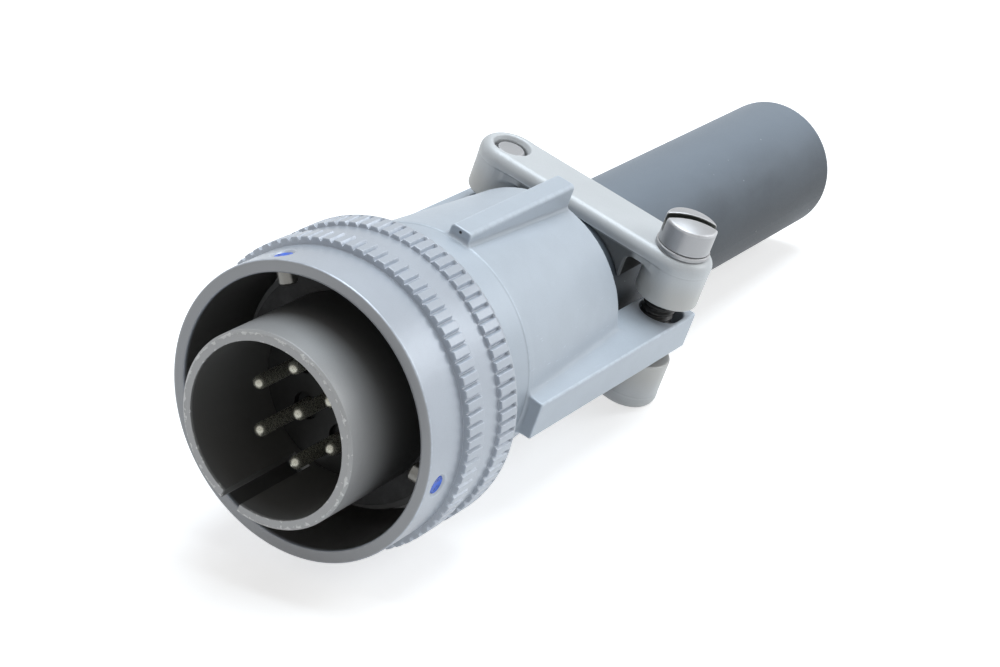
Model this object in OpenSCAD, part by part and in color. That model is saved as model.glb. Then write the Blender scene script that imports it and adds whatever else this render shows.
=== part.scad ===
// Circular connector plug with a reverse bayonet coupling nut, a cast endbell and a saddle cable clamp.
// Millimetres. Every piece is drawn with the connector axis on Y, the mating end towards -Y and the clamp
// screws on Z; lie_down() then lays the whole plug on its nut, its lower rib and its lower clamp saddle.
// The origin is the centre of the plug barrel's front rim.

/* [Plug shell] */
// Outside diameter of the plug barrel
barrel_d = 22; // [20:0.1:24]
// Wall of the plug barrel
barrel_wall = 1.15; // [0.9:0.05:1.4]
// Distance from the rim to the shell's flange
flange_y = 15.5; // [14.5:0.1:16.5]
// Rise of the shell's flange above the barrel
flange_rise = 3.2; // [2.6:0.1:3.8]
// Thickness of the shell's flange
flange_t = 1.9; // [1.4:0.1:2.4]
// Rise of the threaded neck above the barrel
neck_rise = 1; // [0.8:0.1:1.4]
// Length of the shell from rim to rear end
shell_len = 36; // [34:0.5:39]
// Width of the keyway slot in the barrel
keyway_w = 2.4; // [1.6:0.1:2.8]
// Length of the keyway slot
keyway_len = 12.5; // [8:0.5:13.5]
// Turn of the keyway about the axis against the clamp, in degrees
shell_clock = -8; // [-20:1:20]

/* [Insert and contacts] */
// Distance from the rim to the insert's face
insert_face_y = 13.4; // [11:0.1:14.5]
// Length of the front insulator
front_insulator_len = 11.6; // [10.5:0.1:13]
// Height of the shoulder that holds the insert in the shell
insert_step_h = 0.65; // [0.5:0.05:0.75]
// Length of the rear insulator
rear_insulator_len = 5; // [3.5:0.1:6]
// Turn of the contact pattern about the axis, in degrees
insert_clock = -10; // [-30:1:30]
// Radius of the ring of contacts
contact_ring_r = 5.4; // [4.6:0.1:6]
// Diameter of a contact's pin
contact_d = 1.58; // [1.2:0.02:1.9]
// Diameter of a contact's retaining collar
contact_collar_d = 2.8; // [2.4:0.1:3.2]
// Length of a contact's retaining collar
contact_collar_len = 2.5; // [1.5:0.1:3.5]
// Diameter of a contact's wire barrel
contact_barrel_d = 2.1; // [1.9:0.05:2.3]
// Depth of the recess around each pin in the insert's face
pin_recess_depth = 0.8; // [0.4:0.1:1.2]
// Distance from the rim to the ring contacts' tips
contact_tip_y = 4.65; // [3:0.05:6]
// How much deeper the centre contact's tip lies
centre_tip_depth = 0.7; // [0:0.1:1.5]
// Length of the wire barrels past the grommet
contact_tail_len = 5; // [3:0.5:6]
// Depth of a contact's solder cup
cup_depth = 4; // [2:0.5:5]

/* [Coupling nut] */
// Distance from the rim to the nut's front
nut_front_y = 5.85; // [4:0.05:7]
// Length of the nut
nut_len = 16.2; // [15.6:0.1:17]
// Gap between the plug barrel and the nut's bore
nut_gap = 4.45; // [4.2:0.05:4.8]
// Wall of the nut's plain front band
nut_wall = 1.45; // [1.2:0.05:1.8]
// Rise of the plain bands between the grip rows above the front band
nut_band_rise = 0.35; // [0.2:0.05:0.6]
// Rise of the grip blocks above the plain bands
grip_rise = 0.5; // [0.3:0.05:0.8]
// Distance from the nut's front to the first grip row
grip_start_y = 5.95; // [5.6:0.05:6.3]
// Length of a grip row
grip_row_len = 2.75; // [2:0.05:3.1]
// Gap between the two grip rows
grip_row_gap = 3.45; // [3:0.05:3.8]
// Number of grip blocks in a row
grip_teeth = 78; // [60:2:84]
// Share of the pitch that a grip block fills
grip_land = 0.78; // [0.6:0.02:0.84]
// Turn of the grip blocks about the axis, in degrees
grip_clock = -1.1; // [-2.5:0.1:2.5]
// Fall of the taper at the nut's rear edge
nut_rear_fall = 0.45; // [0.2:0.05:0.6]
// Thickness of the nut's inner flange
nut_flange_t = 1.45; // [1.2:0.05:1.8]
// Gap around the retaining ring inside the nut
nut_recess_gap = 0.5; // [0.3:0.1:0.8]
// Diameter of a bayonet pin
bayonet_d = 2.1; // [1.8:0.1:2.4]
// How far the bayonet pins stand into the nut's bore
bayonet_reach_len = 1.95; // [1.5:0.05:2.4]
// Distance from the nut's front to the bayonet pins
bayonet_y = 2.45; // [2:0.05:3]
// Angle of the first bayonet pin about the axis, in degrees
bayonet_clock = 2; // [0:1:119]
// Diameter of the countersink around each index dot
dot_sink_d = 2.8; // [2.5:0.1:3.2]
// Depth of the index dots below the nut's surface
dot_depth = 0.3; // [0.2:0.05:0.4]
// Thickness of the paint in the index dots
dot_t = 0.2; // [0.1:0.05:0.3]

/* [Coupling spring] */
// Height of the wave spring at rest
spring_h = 1.5; // [1.2:0.1:1.8]
// Thickness of the wave spring's strip
spring_t = 0.35; // [0.25:0.05:0.4]
// Number of waves in the spring
spring_waves = 4; // [3:1:5]
// Thickness of the thrust washer
thrust_t = 0.5; // [0.4:0.05:0.7]
// Thickness of the retaining ring
ring_t = 0.9; // [0.7:0.05:1]
// Depth of the retaining ring's groove
ring_groove_depth = 0.6; // [0.4:0.05:0.7]
// Rise of the retaining ring above the neck
ring_rise = 1.8; // [1.4:0.1:1.9]
// Width of the opening between the retaining ring's ends
ring_open_w = 5; // [3:0.5:8]
// Thickness of the flange gasket
gasket_t = 0.9; // [0.6:0.1:1.2]
// Width of the flange gasket
gasket_w = 2.6; // [1.8:0.05:2.8]
// Depth of the gasket's seat below the barrel
gasket_seat_depth = 0.25; // [0.15:0.05:0.35]

/* [Endbell] */
// Gap between the nut and the endbell
endbell_gap = 0.3; // [0.2:0.05:0.6]
// Wall of the endbell's front collar
collar_wall = 2.7; // [2.4:0.1:3.2]
// Length of the front collar
collar_len = 6.7; // [5:0.1:8]
// Height of the step from the collar down to the barrel
collar_step_h = 0.2; // [0.1:0.05:0.4]
// Wall of the barrel's rear end
endbell_rear_wall = 3.15; // [2.8:0.05:3.6]
// Length of the endbell from collar face to the barrel's rear end
endbell_len = 29.1; // [27:0.1:31]
// Gap between the bushing and the endbell's rear bore
endbell_bore_gap = 1; // [0.8:0.05:1.2]
// Width of the shoulder inside the endbell
throat_shoulder_w = 0.9; // [0.5:0.1:1.5]
// Length of the cone inside the endbell
throat_len = 4; // [2:0.5:4.5]
// Thickness of the grommet follower
follower_t = 2.3; // [1.8:0.1:3]
// Width of the grommet follower's ring
follower_w = 4.2; // [3.6:0.1:4.6]
// Gap from the collar to the front of the ribs and wings
rib_gap = 0.15; // [0:0.05:1]
// Width of the top and bottom ribs
rib_w = 2.5; // [2:0.1:3.5]
// Rise of the ribs' crests above the collar
rib_rise = 1; // [0.6:0.1:1.6]
// Thickness of the side wings and ears
wing_t = 4.8; // [4:0.1:5]
// Rise of the wings' outer faces above the collar
wing_rise = 1.3; // [0.8:0.1:2]
// Gap between the bushing and the ears
ear_gap = 1.2; // [1:0.05:1.4]
// Distance from the clamp screws to the ears' outer faces
ear_edge_w = 3.4; // [3.2:0.1:4]
// Length of the ears past the clamp screws
ear_end_len = 4.1; // [3.6:0.1:5]
// Gap around the clamp screws in the ears
ear_hole_gap = 0.5; // [0.3:0.05:0.6]
// Extra length of the ears' holes towards the rear
ear_slot_len = 0.8; // [0:0.1:1]
// Radius of the cast edges
cast_edge_r = 0.4; // [0.2:0.05:0.6]
// Radius of the ears' outer corners
ear_corner_r = 1; // [0.8:0.1:2]

/* [Cable clamp] */
// Distance from the barrel's rear end to the clamp screws
clamp_y = 9.2; // [8.6:0.1:11]
// Gap between the bushing and the screws' centre lines
screw_gap = 3.9; // [3.8:0.1:4.4]
// Width of a saddle's bar and bosses
saddle_w = 7.6; // [7.2:0.1:7.8]
// Thickness of the saddle over the bushing
saddle_crown_t = 1.8; // [1.4:0.1:2.6]
// Thickness of the saddle's bar beside the pad
saddle_bar_t = 2; // [1.8:0.1:2.6]
// Gap between a clamped saddle's bosses and a centred ear
boss_gap = 1.8; // [1.4:0.1:2.2]
// Width of the arch between the pad and each boss
arch_w = 1.7; // [1:0.1:1.8]
// Height of the web between the bar and the arch
arch_web_h = 1; // [0.6:0.1:1.2]
// How much narrower the pad is than the bar, on each side
pad_inset_w = 0.35; // [0.2:0.05:0.6]
// Radius of the saddle's top edges
saddle_edge_r = 0.9; // [0.4:0.1:1.2]
// Gap between a saddle's pad and the bushing
pad_gap = 0.1; // [0.05:0.05:0.3]
// Diameter of a clamp screw
screw_d = 4.1; // [3.6:0.1:4.3]
// Diameter of a screw's head
screw_head_d = 6.4; // [6:0.1:7]
// Height of the head's straight side
screw_head_h = 3.1; // [2.4:0.1:3.6]
// Height of the head's crown
screw_crown_h = 0.6; // [0.4:0.1:0.9]
// Width of the driver slot
driver_slot_w = 1.1; // [0.8:0.1:1.4]
// Depth of the driver slot
driver_slot_depth = 1.6; // [1.2:0.1:2.2]
// Angle of the driver slots to the clamp's bar, in degrees
driver_angle = 28; // [-90:1:90]
// Depth of a screw's end below the far saddle's face
screw_end_depth = 0.5; // [0.2:0.1:1]
// Outside diameter of a lock washer
washer_d = 7.1; // [6.6:0.1:7.4]
// Thickness of a lock washer
washer_t = 0.8; // [0.7:0.1:1.2]
// Width of the split in a lock washer
washer_split_w = 0.5; // [0.3:0.1:0.8]

/* [Cable bushing] */
// Outside diameter of the rubber bushing
bushing_d = 17.6; // [15.6:0.1:19.6]
// Bore of the rubber bushing
bushing_bore_d = 12.8; // [11:0.1:14]
// Distance from the rim to the bushing's far end
bushing_end_y = 116; // [100:1:125]
// Length of the bushing inside the endbell
bushing_inner_len = 9; // [5:0.5:10]
// Lift of the clamped bushing off the connector axis
bushing_lift_h = 0.5; // [0:0.05:0.6]
// Radius of the bushing's far edge
bushing_edge_r = 1.2; // [0.6:0.1:1.8]

/* [Fits and resting pose] */
// Radial gap between pieces that slide or turn
run_gap = 0.1; // [0.06:0.01:0.2]
// Gap between pieces that are fitted together
seat_gap = 0.05; // [0.02:0.01:0.08]
// Width of the small edge break on turned pieces
edge_break_w = 0.3; // [0.1:0.05:0.4]
// Roll of the resting plug about its axis, in degrees
rest_roll = 18.5; // [0:0.5:30]
// Pitch of the resting plug, rear end down, in degrees
rest_pitch = 4.5; // [0:0.5:10]

/* [Hidden] */
$fn = 96;

// Contacts in the ring around the centre one, and bayonet pins: one node each
ring_contacts = 6;
pin_count = 3;
// Overshoot of cuts past the faces that they open, and overlap of joined solids
cut = 1;

// Radii of the shell and of what slides on it
barrel_r = barrel_d / 2;
barrel_bore_r = barrel_r - barrel_wall;
neck_r = barrel_r + neck_rise;
flange_r = barrel_r + flange_rise;
groove_r = neck_r - ring_groove_depth;
ring_r = neck_r + ring_rise;
neck_run_r = neck_r + run_gap;
gasket_seat_r = barrel_r - gasket_seat_depth;
gasket_in_r = gasket_seat_r + seat_gap;
gasket_y = flange_y - gasket_t;

// Insert stack from front to rear
insert_front_r = barrel_bore_r - seat_gap;
insert_seat_y = flange_y + flange_t + edge_break_w;
shell_rear_bore_r = barrel_bore_r + insert_step_h;
insert_rear_r = shell_rear_bore_r - seat_gap;
rear_insulator_y = insert_face_y + front_insulator_len;
grommet_y = rear_insulator_y + rear_insulator_len;
follower_y = shell_len;
follower_end = follower_y + follower_t;
follower_bore_r = neck_r - follower_w;
contact_hole_r = contact_d / 2 + seat_gap;
barrel_hole_r = contact_barrel_d / 2 + seat_gap;
collar_hole_r = contact_collar_d / 2 + seat_gap;
contact_collar_y = rear_insulator_y - contact_collar_len;
contact_end = shell_len + contact_tail_len;
pin_recess_r = contact_d;

// Coupling stack from front to rear
spring_y = flange_y + flange_t;
thrust_y = spring_y + spring_h;
nut_flange_y = thrust_y + thrust_t + seat_gap;
nut_recess_y = nut_flange_y + nut_flange_t;
ring_y = nut_recess_y + seat_gap;
nut_rear_y = nut_front_y + nut_len;
nut_bore_r = barrel_r + nut_gap;
nut_front_r = nut_bore_r + nut_wall;
nut_band_r = nut_front_r + nut_band_rise;
grip_r = nut_band_r + grip_rise;
nut_mid_r = (nut_bore_r + nut_band_r) / 2;
nut_rear_r = nut_band_r - nut_rear_fall;
nut_recess_r = ring_r + nut_recess_gap;
grip_y = nut_front_y + grip_start_y;
grip_end = grip_y + 2 * grip_row_len + grip_row_gap;
bayonet_tip_r = nut_bore_r - bayonet_reach_len;
dot_r = nut_front_r - dot_depth;
thrust_r = nut_bore_r - run_gap;
spring_in_r = neck_run_r;
spring_out_r = flange_r;

// Endbell stations along the axis
endbell_y = nut_rear_y + endbell_gap;
collar_end = endbell_y + collar_len;
rib_y = collar_end + rib_gap;
endbell_end = endbell_y + endbell_len;
bushing_r = bushing_d / 2;
thread_bore_r = neck_r + 2 * seat_gap;
collar_r = thread_bore_r + collar_wall;
endbell_front_r = collar_r - collar_step_h;
endbell_bore_r = bushing_r + endbell_bore_gap;
endbell_rear_r = endbell_bore_r + endbell_rear_wall;
throat_r = thread_bore_r - throat_shoulder_w;
rib_r = collar_r + rib_rise;

// Clamp stations
clamp_at = endbell_end + clamp_y;
clamp_x = bushing_r + screw_gap;
ear_end = clamp_at + ear_end_len;
ear_inner_r = bushing_r + ear_gap;
wing_r = max(collar_r + wing_rise, clamp_x + ear_edge_w);
ear_hole_x = (ear_inner_r + wing_r) / 2;
boss_r = saddle_w / 2;
saddle_top_z = bushing_lift_h + bushing_r + pad_gap + saddle_crown_t;
boss_foot_z = bushing_lift_h + wing_t / 2 + boss_gap;
boss_h = saddle_top_z - boss_foot_z;
pad_x = clamp_x - boss_r - arch_w;
screw_r = screw_d / 2;
screw_hole_r = screw_r + run_gap;
thread_hole_r = screw_r + seat_gap;
ear_hole_r = screw_r + ear_hole_gap;
saddle_low_z = 2 * bushing_lift_h - saddle_top_z;
head_z = saddle_top_z + washer_t + seat_gap;
screw_len = head_z - saddle_low_z - screw_end_depth;
bushing_y = endbell_end - bushing_inner_len;

// Colours of the finishes
nickel_grey = [0.62, 0.63, 0.65];
cast_grey = [0.70, 0.73, 0.77];
clamp_grey = [0.76, 0.77, 0.77];
black_plastic = [0.10, 0.10, 0.10];
dark_rubber = [0.16, 0.17, 0.18];
bright_metal = [0.78, 0.77, 0.72];
spring_steel = [0.55, 0.56, 0.58];
index_blue = [0.10, 0.25, 0.85];

// Placement and shared shapes

// Lays the plug down as it rests on a table
module lie_down() rotate([-rest_pitch, 0, 0]) rotate([0, rest_roll, 0]) children();

// Turns a shape drawn along Z so that it runs along the connector axis
module along_axis() rotate([-90, 0, 0]) children();

// Revolves a section of [radius, station] points about the connector axis
module revolve(section) along_axis() rotate_extrude() polygon(section);

// A plain ring about the connector axis
module ring(inner_r, outer_r, y0, y1)
    revolve([[inner_r, y0], [outer_r, y0], [outer_r, y1], [inner_r, y1]]);

// Extrudes an outline drawn in X and Z from y0 to y1
module prism(y0, y1) translate([0, y1, 0]) rotate([90, 0, 0]) linear_extrude(y1 - y0) children();

// A straight hole or pin along the connector axis
module axial_rod(r, y0, y1) translate([0, y0, 0]) along_axis() cylinder(r = r, h = y1 - y0);

// Puts a shape drawn outwards along +X at each bayonet pin's angle
module at_bayonet(i) {
    pin_angle = bayonet_clock + i * 360 / pin_count;
    translate([0, nut_front_y + bayonet_y, 0]) rotate([0, -pin_angle, 0]) children();
}

// Place of contact i: 0 is the centre one
module at_contact(i) {
    ring_angle = (i - 1) * 360 / ring_contacts;
    rotate([0, -insert_clock, 0])
    translate(i == 0 ? [0, 0, 0] : contact_ring_r * [cos(ring_angle), 0, sin(ring_angle)])
    children();
}

// Holes of one radius for all contacts
module contact_holes(r, y0, y1) for (i = [0 : ring_contacts]) at_contact(i) axial_rod(r, y0, y1);

// A round post about Z with a rounded top edge
module round_post(r, h, fillet) rotate_extrude() {
    square([r - fillet, h]);
    square([r, h - fillet]);
    translate([r - fillet, h - fillet]) circle(fillet);
}

// The same section as a half-round bar, centred on X = 0
module round_bar_section(half_w, h, fillet) {
    translate([-half_w, 0]) square([2 * half_w, h - fillet]);
    translate([fillet - half_w, 0]) square([2 * (half_w - fillet), h]);
    for (side = [-1, 1]) translate([side * (half_w - fillet), h - fillet]) circle(fillet);
}

// Turns what is drawn for the upper clamp half into its lower twin
module lower_twin() translate([0, 0, 2 * bushing_lift_h]) rotate([0, 180, 0]) children();

// Shell and insert

module plug_shell() color(nickel_grey) lie_down() difference() {
    revolve([
        [barrel_bore_r, 0], [barrel_r - edge_break_w, 0], [barrel_r, edge_break_w], [barrel_r, gasket_y],
        [gasket_seat_r, gasket_y], [gasket_seat_r, flange_y],
        [flange_r, flange_y], [flange_r, spring_y], [neck_r, spring_y],
        [neck_r, ring_y], [groove_r, ring_y], [groove_r, ring_y + ring_t], [neck_r, ring_y + ring_t],
        [neck_r, shell_len], [shell_rear_bore_r, shell_len], [shell_rear_bore_r, insert_seat_y],
        [barrel_bore_r, insert_seat_y]
    ]);
    rotate([0, -shell_clock, 0])
    translate([-keyway_w / 2, -cut, -barrel_r - cut])
    cube([keyway_w, keyway_len + cut, barrel_wall + 2 * cut]);
}

module front_insulator() color(black_plastic) lie_down() difference() {
    revolve([
        [0, insert_face_y], [insert_front_r, insert_face_y], [insert_front_r, insert_seat_y],
        [insert_rear_r, insert_seat_y], [insert_rear_r, rear_insulator_y], [0, rear_insulator_y]
    ]);
    contact_holes(contact_hole_r, insert_face_y - cut, rear_insulator_y + cut);
    contact_holes(pin_recess_r, insert_face_y - cut, insert_face_y + pin_recess_depth);
    contact_holes(collar_hole_r, contact_collar_y, rear_insulator_y + cut);
}

module rear_insulator() color(black_plastic) lie_down() difference() {
    axial_rod(insert_rear_r, rear_insulator_y, grommet_y);
    contact_holes(barrel_hole_r, rear_insulator_y - cut, grommet_y + cut);
}

module wire_grommet() color(dark_rubber) lie_down() difference() {
    axial_rod(insert_rear_r, grommet_y, shell_len);
    contact_holes(barrel_hole_r, grommet_y - cut, shell_len + cut);
}

module grommet_follower() color(nickel_grey) lie_down()
    ring(follower_bore_r, neck_r, follower_y, follower_end);

// One contact: round-nosed pin, retaining collar and solder cup
module contact_pin(i) color(bright_metal) lie_down() at_contact(i) {
    pin_r = contact_d / 2;
    nose_y = contact_tip_y + (i == 0 ? centre_tip_depth : 0) + pin_r;
    difference() {
        union() {
            translate([0, nose_y, 0]) sphere(pin_r);
            axial_rod(pin_r, nose_y, contact_collar_y + cut);
            axial_rod(contact_collar_d / 2, contact_collar_y, rear_insulator_y);
            axial_rod(contact_barrel_d / 2, rear_insulator_y - cut, contact_end);
        }
        axial_rod(pin_r, contact_end - cup_depth, contact_end + cut);
    }
}

module contact_pin_1() contact_pin(0);
module contact_pin_2() contact_pin(1);
module contact_pin_3() contact_pin(2);
module contact_pin_4() contact_pin(3);
module contact_pin_5() contact_pin(4);
module contact_pin_6() contact_pin(5);
module contact_pin_7() contact_pin(6);

module flange_gasket() color(dark_rubber) lie_down()
    ring(gasket_in_r, gasket_in_r + gasket_w, gasket_y, flange_y);

// Coupling nut and its spring

// Points round one side of the wave spring's strip at one angle
function spring_ring(angle) = let (
    mid = spring_y + spring_h / 2,
    swing = (spring_h - spring_t) / 2 - seat_gap,
    y = mid + swing * sin(spring_waves * angle),
    dir = [cos(angle), 0, sin(angle)]
) [
    spring_in_r * dir + [0, y - spring_t / 2, 0],
    spring_out_r * dir + [0, y - spring_t / 2, 0],
    spring_out_r * dir + [0, y + spring_t / 2, 0],
    spring_in_r * dir + [0, y + spring_t / 2, 0]
];

module wave_spring() color(spring_steel) lie_down() {
    steps = 24 * spring_waves;
    corners = 4;
    points = [for (s = [0 : steps - 1]) each spring_ring(s * 360 / steps)];
    faces = [
        for (s = [0 : steps - 1]) for (c = [0 : corners - 1])
        let (
            a = s * corners + c,
            b = s * corners + (c + 1) % corners,
            next = ((s + 1) % steps) * corners
        )
        each [[a, b, next + (c + 1) % corners], [a, next + (c + 1) % corners, next + c]]
    ];
    polyhedron(points, faces);
}

module thrust_washer() color(bright_metal) lie_down()
    ring(neck_run_r, thrust_r, thrust_y, thrust_y + thrust_t);

module retaining_ring() color(spring_steel) lie_down() difference() {
    ring(groove_r + seat_gap, ring_r, ring_y, ring_y + ring_t);
    translate([-ring_open_w / 2, ring_y - cut, 0]) cube([ring_open_w, ring_t + 2 * cut, ring_r + cut]);
}

// Outline of a grip row: blocks with straight gaps between them
function grip_outline() = [
    for (t = [0 : grip_teeth - 1])
    let (pitch = 360 / grip_teeth, start = grip_clock + t * pitch, land = grip_land * pitch)
    each [
        nut_mid_r * [cos(start), sin(start)],
        grip_r * [cos(start), sin(start)],
        grip_r * [cos(start + land), sin(start + land)],
        nut_mid_r * [cos(start + land), sin(start + land)]
    ]
];

module grip_row(row) {
    row_y = grip_y + row * (grip_row_len + grip_row_gap);
    prism(row_y, row_y + grip_row_len) difference() {
        polygon(grip_outline());
        circle((nut_bore_r + nut_mid_r) / 2);
    }
}

module nut_body() revolve([
    [nut_bore_r, nut_front_y], [nut_front_r - edge_break_w, nut_front_y],
    [nut_front_r, nut_front_y + edge_break_w], [nut_front_r, grip_y], [nut_band_r, grip_y],
    [nut_band_r, grip_end], [nut_rear_r, nut_rear_y],
    [nut_recess_r, nut_rear_y], [nut_recess_r, nut_recess_y],
    [neck_run_r, nut_recess_y], [neck_run_r, nut_flange_y], [nut_bore_r, nut_flange_y]
]);

module coupling_nut() color(nickel_grey) lie_down() difference() {
    union() {
        nut_body();
        for (row = [0, 1]) grip_row(row);
    }
    for (i = [0 : pin_count - 1]) at_bayonet(i) rotate([0, 90, 0]) {
        translate([0, 0, nut_bore_r - cut]) cylinder(r = bayonet_d / 2 + seat_gap, h = nut_wall + 2 * cut);
        translate([0, 0, dot_r]) cylinder(d1 = bayonet_d, d2 = 2 * dot_sink_d - bayonet_d, h = 2 * dot_depth);
    }
}

module bayonet_pin(i) color(bright_metal) lie_down() at_bayonet(i) rotate([0, 90, 0])
translate([0, 0, bayonet_tip_r]) {
    tip = bayonet_d / 8;
    cylinder(d1 = bayonet_d - 2 * tip, d2 = bayonet_d, h = tip);
    translate([0, 0, tip]) cylinder(d = bayonet_d, h = dot_r - dot_t - bayonet_tip_r - tip);
}

module bayonet_pin_1() bayonet_pin(0);
module bayonet_pin_2() bayonet_pin(1);
module bayonet_pin_3() bayonet_pin(2);

module index_dot(i) color(index_blue) lie_down() at_bayonet(i) rotate([0, 90, 0])
    translate([0, 0, dot_r - dot_t]) cylinder(d = bayonet_d, h = dot_t);

module index_dot_1() index_dot(0);
module index_dot_2() index_dot(1);
module index_dot_3() index_dot(2);

// Endbell

// Outside of the barrel, as a full solid
module endbell_outer() revolve([
    [0, endbell_y], [collar_r - edge_break_w, endbell_y], [collar_r, endbell_y + edge_break_w],
    [collar_r, collar_end], [endbell_front_r, collar_end],
    [endbell_rear_r, endbell_end - edge_break_w], [endbell_rear_r - edge_break_w, endbell_end],
    [0, endbell_end]
]);

// Space inside the barrel: threaded bore, shoulder, cone and rear bore
module endbell_inner() revolve([
    [0, endbell_y - cut], [thread_bore_r, endbell_y - cut], [thread_bore_r, follower_end],
    [throat_r, follower_end], [endbell_bore_r, follower_end + throat_len],
    [endbell_bore_r, endbell_end + cut], [0, endbell_end + cut]
]);

// Rib on top of the barrel: level crest, so it stands taller towards the rear
module endbell_rib() prism(rib_y, endbell_end - edge_break_w)
    translate([0, endbell_bore_r]) round_bar_section(rib_w / 2, rib_r - endbell_bore_r, cast_edge_r);

// Section of one side wing with rounded outer edges
module wing_section(root) {
    half_t = wing_t / 2;
    translate([root, -half_t]) square([wing_r - cast_edge_r - root, wing_t]);
    translate([root, cast_edge_r - half_t]) square([wing_r - root, wing_t - 2 * cast_edge_r]);
    for (side = [-1, 1])
        translate([wing_r - cast_edge_r, side * (half_t - cast_edge_r)]) circle(cast_edge_r);
}

// Wing beside the barrel and the ear that carries it on to the clamp screw
module endbell_wing() {
    prism(rib_y, endbell_end) wing_section(endbell_bore_r);
    intersection() {
        prism(endbell_end - cut, ear_end) wing_section(ear_inner_r);
        translate([0, 0, -wing_t]) linear_extrude(2 * wing_t) {
            translate([ear_inner_r, endbell_end - 2 * cut])
                square([wing_r - ear_corner_r - ear_inner_r, ear_end - endbell_end + 2 * cut]);
            translate([ear_inner_r, endbell_end - 2 * cut])
                square([wing_r - ear_inner_r, ear_end - ear_corner_r - endbell_end + 2 * cut]);
            translate([wing_r - ear_corner_r, ear_end - ear_corner_r]) circle(ear_corner_r);
        }
    }
}

// Oblong hole through an ear for its clamp screw
module ear_hole_cut() translate([ear_hole_x, clamp_at, -wing_t]) {
    for (shift = [0, ear_slot_len]) translate([0, shift, 0]) cylinder(r = ear_hole_r, h = 2 * wing_t);
    translate([-ear_hole_r, 0, 0]) cube([2 * ear_hole_r, ear_slot_len, 2 * wing_t]);
}

module endbell() color(cast_grey) lie_down() difference() {
    union() {
        endbell_outer();
        for (turn = [0, 180]) rotate([0, turn, 0]) {
            endbell_rib();
            endbell_wing();
        }
    }
    endbell_inner();
    for (turn = [0, 180]) rotate([0, turn, 0]) ear_hole_cut();
}

// Cable clamp

module cable_bushing() color(dark_rubber) lie_down() translate([0, 0, bushing_lift_h]) along_axis()
translate([0, 0, bushing_y]) difference() {
    round_post(bushing_r, bushing_end_y - bushing_y, bushing_edge_r);
    translate([0, 0, -cut]) cylinder(d = bushing_bore_d, h = bushing_end_y - bushing_y + 2 * cut);
}

// Upper saddle: bar with two round screw bosses and a pad that hugs the bushing
module saddle() difference() {
    union() {
        for (side = [-1, 1]) translate([side * clamp_x, clamp_at, boss_foot_z])
            round_post(boss_r, boss_h, saddle_edge_r);
        translate([-clamp_x, clamp_at, saddle_top_z - saddle_bar_t]) rotate([90, 0, 90])
            linear_extrude(2 * clamp_x) round_bar_section(boss_r, saddle_bar_t, saddle_edge_r);
        saddle_pad();
    }
    translate([0, 0, bushing_lift_h])
        axial_rod(bushing_r + pad_gap, clamp_at - saddle_w, clamp_at + saddle_w);
    translate([clamp_x, clamp_at, boss_foot_z - cut]) cylinder(r = screw_hole_r, h = boss_h + 2 * cut);
    translate([-clamp_x, clamp_at, boss_foot_z - cut]) cylinder(r = thread_hole_r, h = boss_h + 2 * cut);
}

// Pad under the bar: a little narrower than it, and open in an arch beside each boss
module saddle_pad() translate([0, clamp_at, 0]) difference() {
    translate([-clamp_x, pad_inset_w - boss_r, boss_foot_z])
        cube([2 * clamp_x, saddle_w - 2 * pad_inset_w, boss_h - saddle_bar_t + cut / 2]);
    for (turn = [0, 180]) rotate([0, 0, turn]) arch_cut();
}

// Round-topped opening from the pad to the middle of one boss
module arch_cut() {
    arch_r = arch_w / 2;
    spring_z = saddle_top_z - saddle_bar_t - arch_web_h - arch_r;
    prism(-saddle_w, saddle_w) {
        translate([pad_x + arch_r, spring_z]) circle(arch_r);
        translate([pad_x + arch_r, spring_z]) square([clamp_x - pad_x - arch_r, arch_r]);
        translate([pad_x, boss_foot_z - cut]) square([clamp_x - pad_x, spring_z - boss_foot_z + cut]);
    }
}

module clamp_saddle_top() color(clamp_grey) lie_down() saddle();
module clamp_saddle_bottom() color(clamp_grey) lie_down() lower_twin() saddle();

// Slotted screw with a crowned head, through the upper saddle's right boss
module clamp_screw() translate([clamp_x, clamp_at, head_z]) {
    head_r = screw_head_d / 2;
    crown_r = (head_r * head_r + screw_crown_h * screw_crown_h) / (2 * screw_crown_h);
    head_h = screw_head_h + screw_crown_h;
    difference() {
        intersection() {
            cylinder(r = head_r, h = head_h);
            translate([0, 0, head_h - crown_r]) sphere(crown_r);
        }
        rotate([0, 0, driver_angle])
        translate([-head_r - cut, -driver_slot_w / 2, head_h - driver_slot_depth])
            cube([2 * (head_r + cut), driver_slot_w, driver_slot_depth + cut]);
    }
    translate([0, 0, edge_break_w - screw_len]) cylinder(r = screw_r, h = screw_len);
    translate([0, 0, -screw_len]) cylinder(r1 = screw_r - edge_break_w, r2 = screw_r, h = edge_break_w);
}

module clamp_screw_right() color(bright_metal) lie_down() clamp_screw();
module clamp_screw_left() color(bright_metal) lie_down() lower_twin() clamp_screw();

// Lock washer under the right screw's head, split towards the rear
module lock_washer() translate([clamp_x, clamp_at, saddle_top_z]) difference() {
    cylinder(d = washer_d, h = washer_t);
    translate([0, 0, -cut]) cylinder(r = screw_hole_r, h = washer_t + 2 * cut);
    translate([-washer_split_w / 2, 0, -cut]) cube([washer_split_w, washer_d, washer_t + 2 * cut]);
}

module lock_washer_right() color(spring_steel) lie_down() lock_washer();
module lock_washer_left() color(spring_steel) lie_down() lower_twin() lock_washer();

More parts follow.
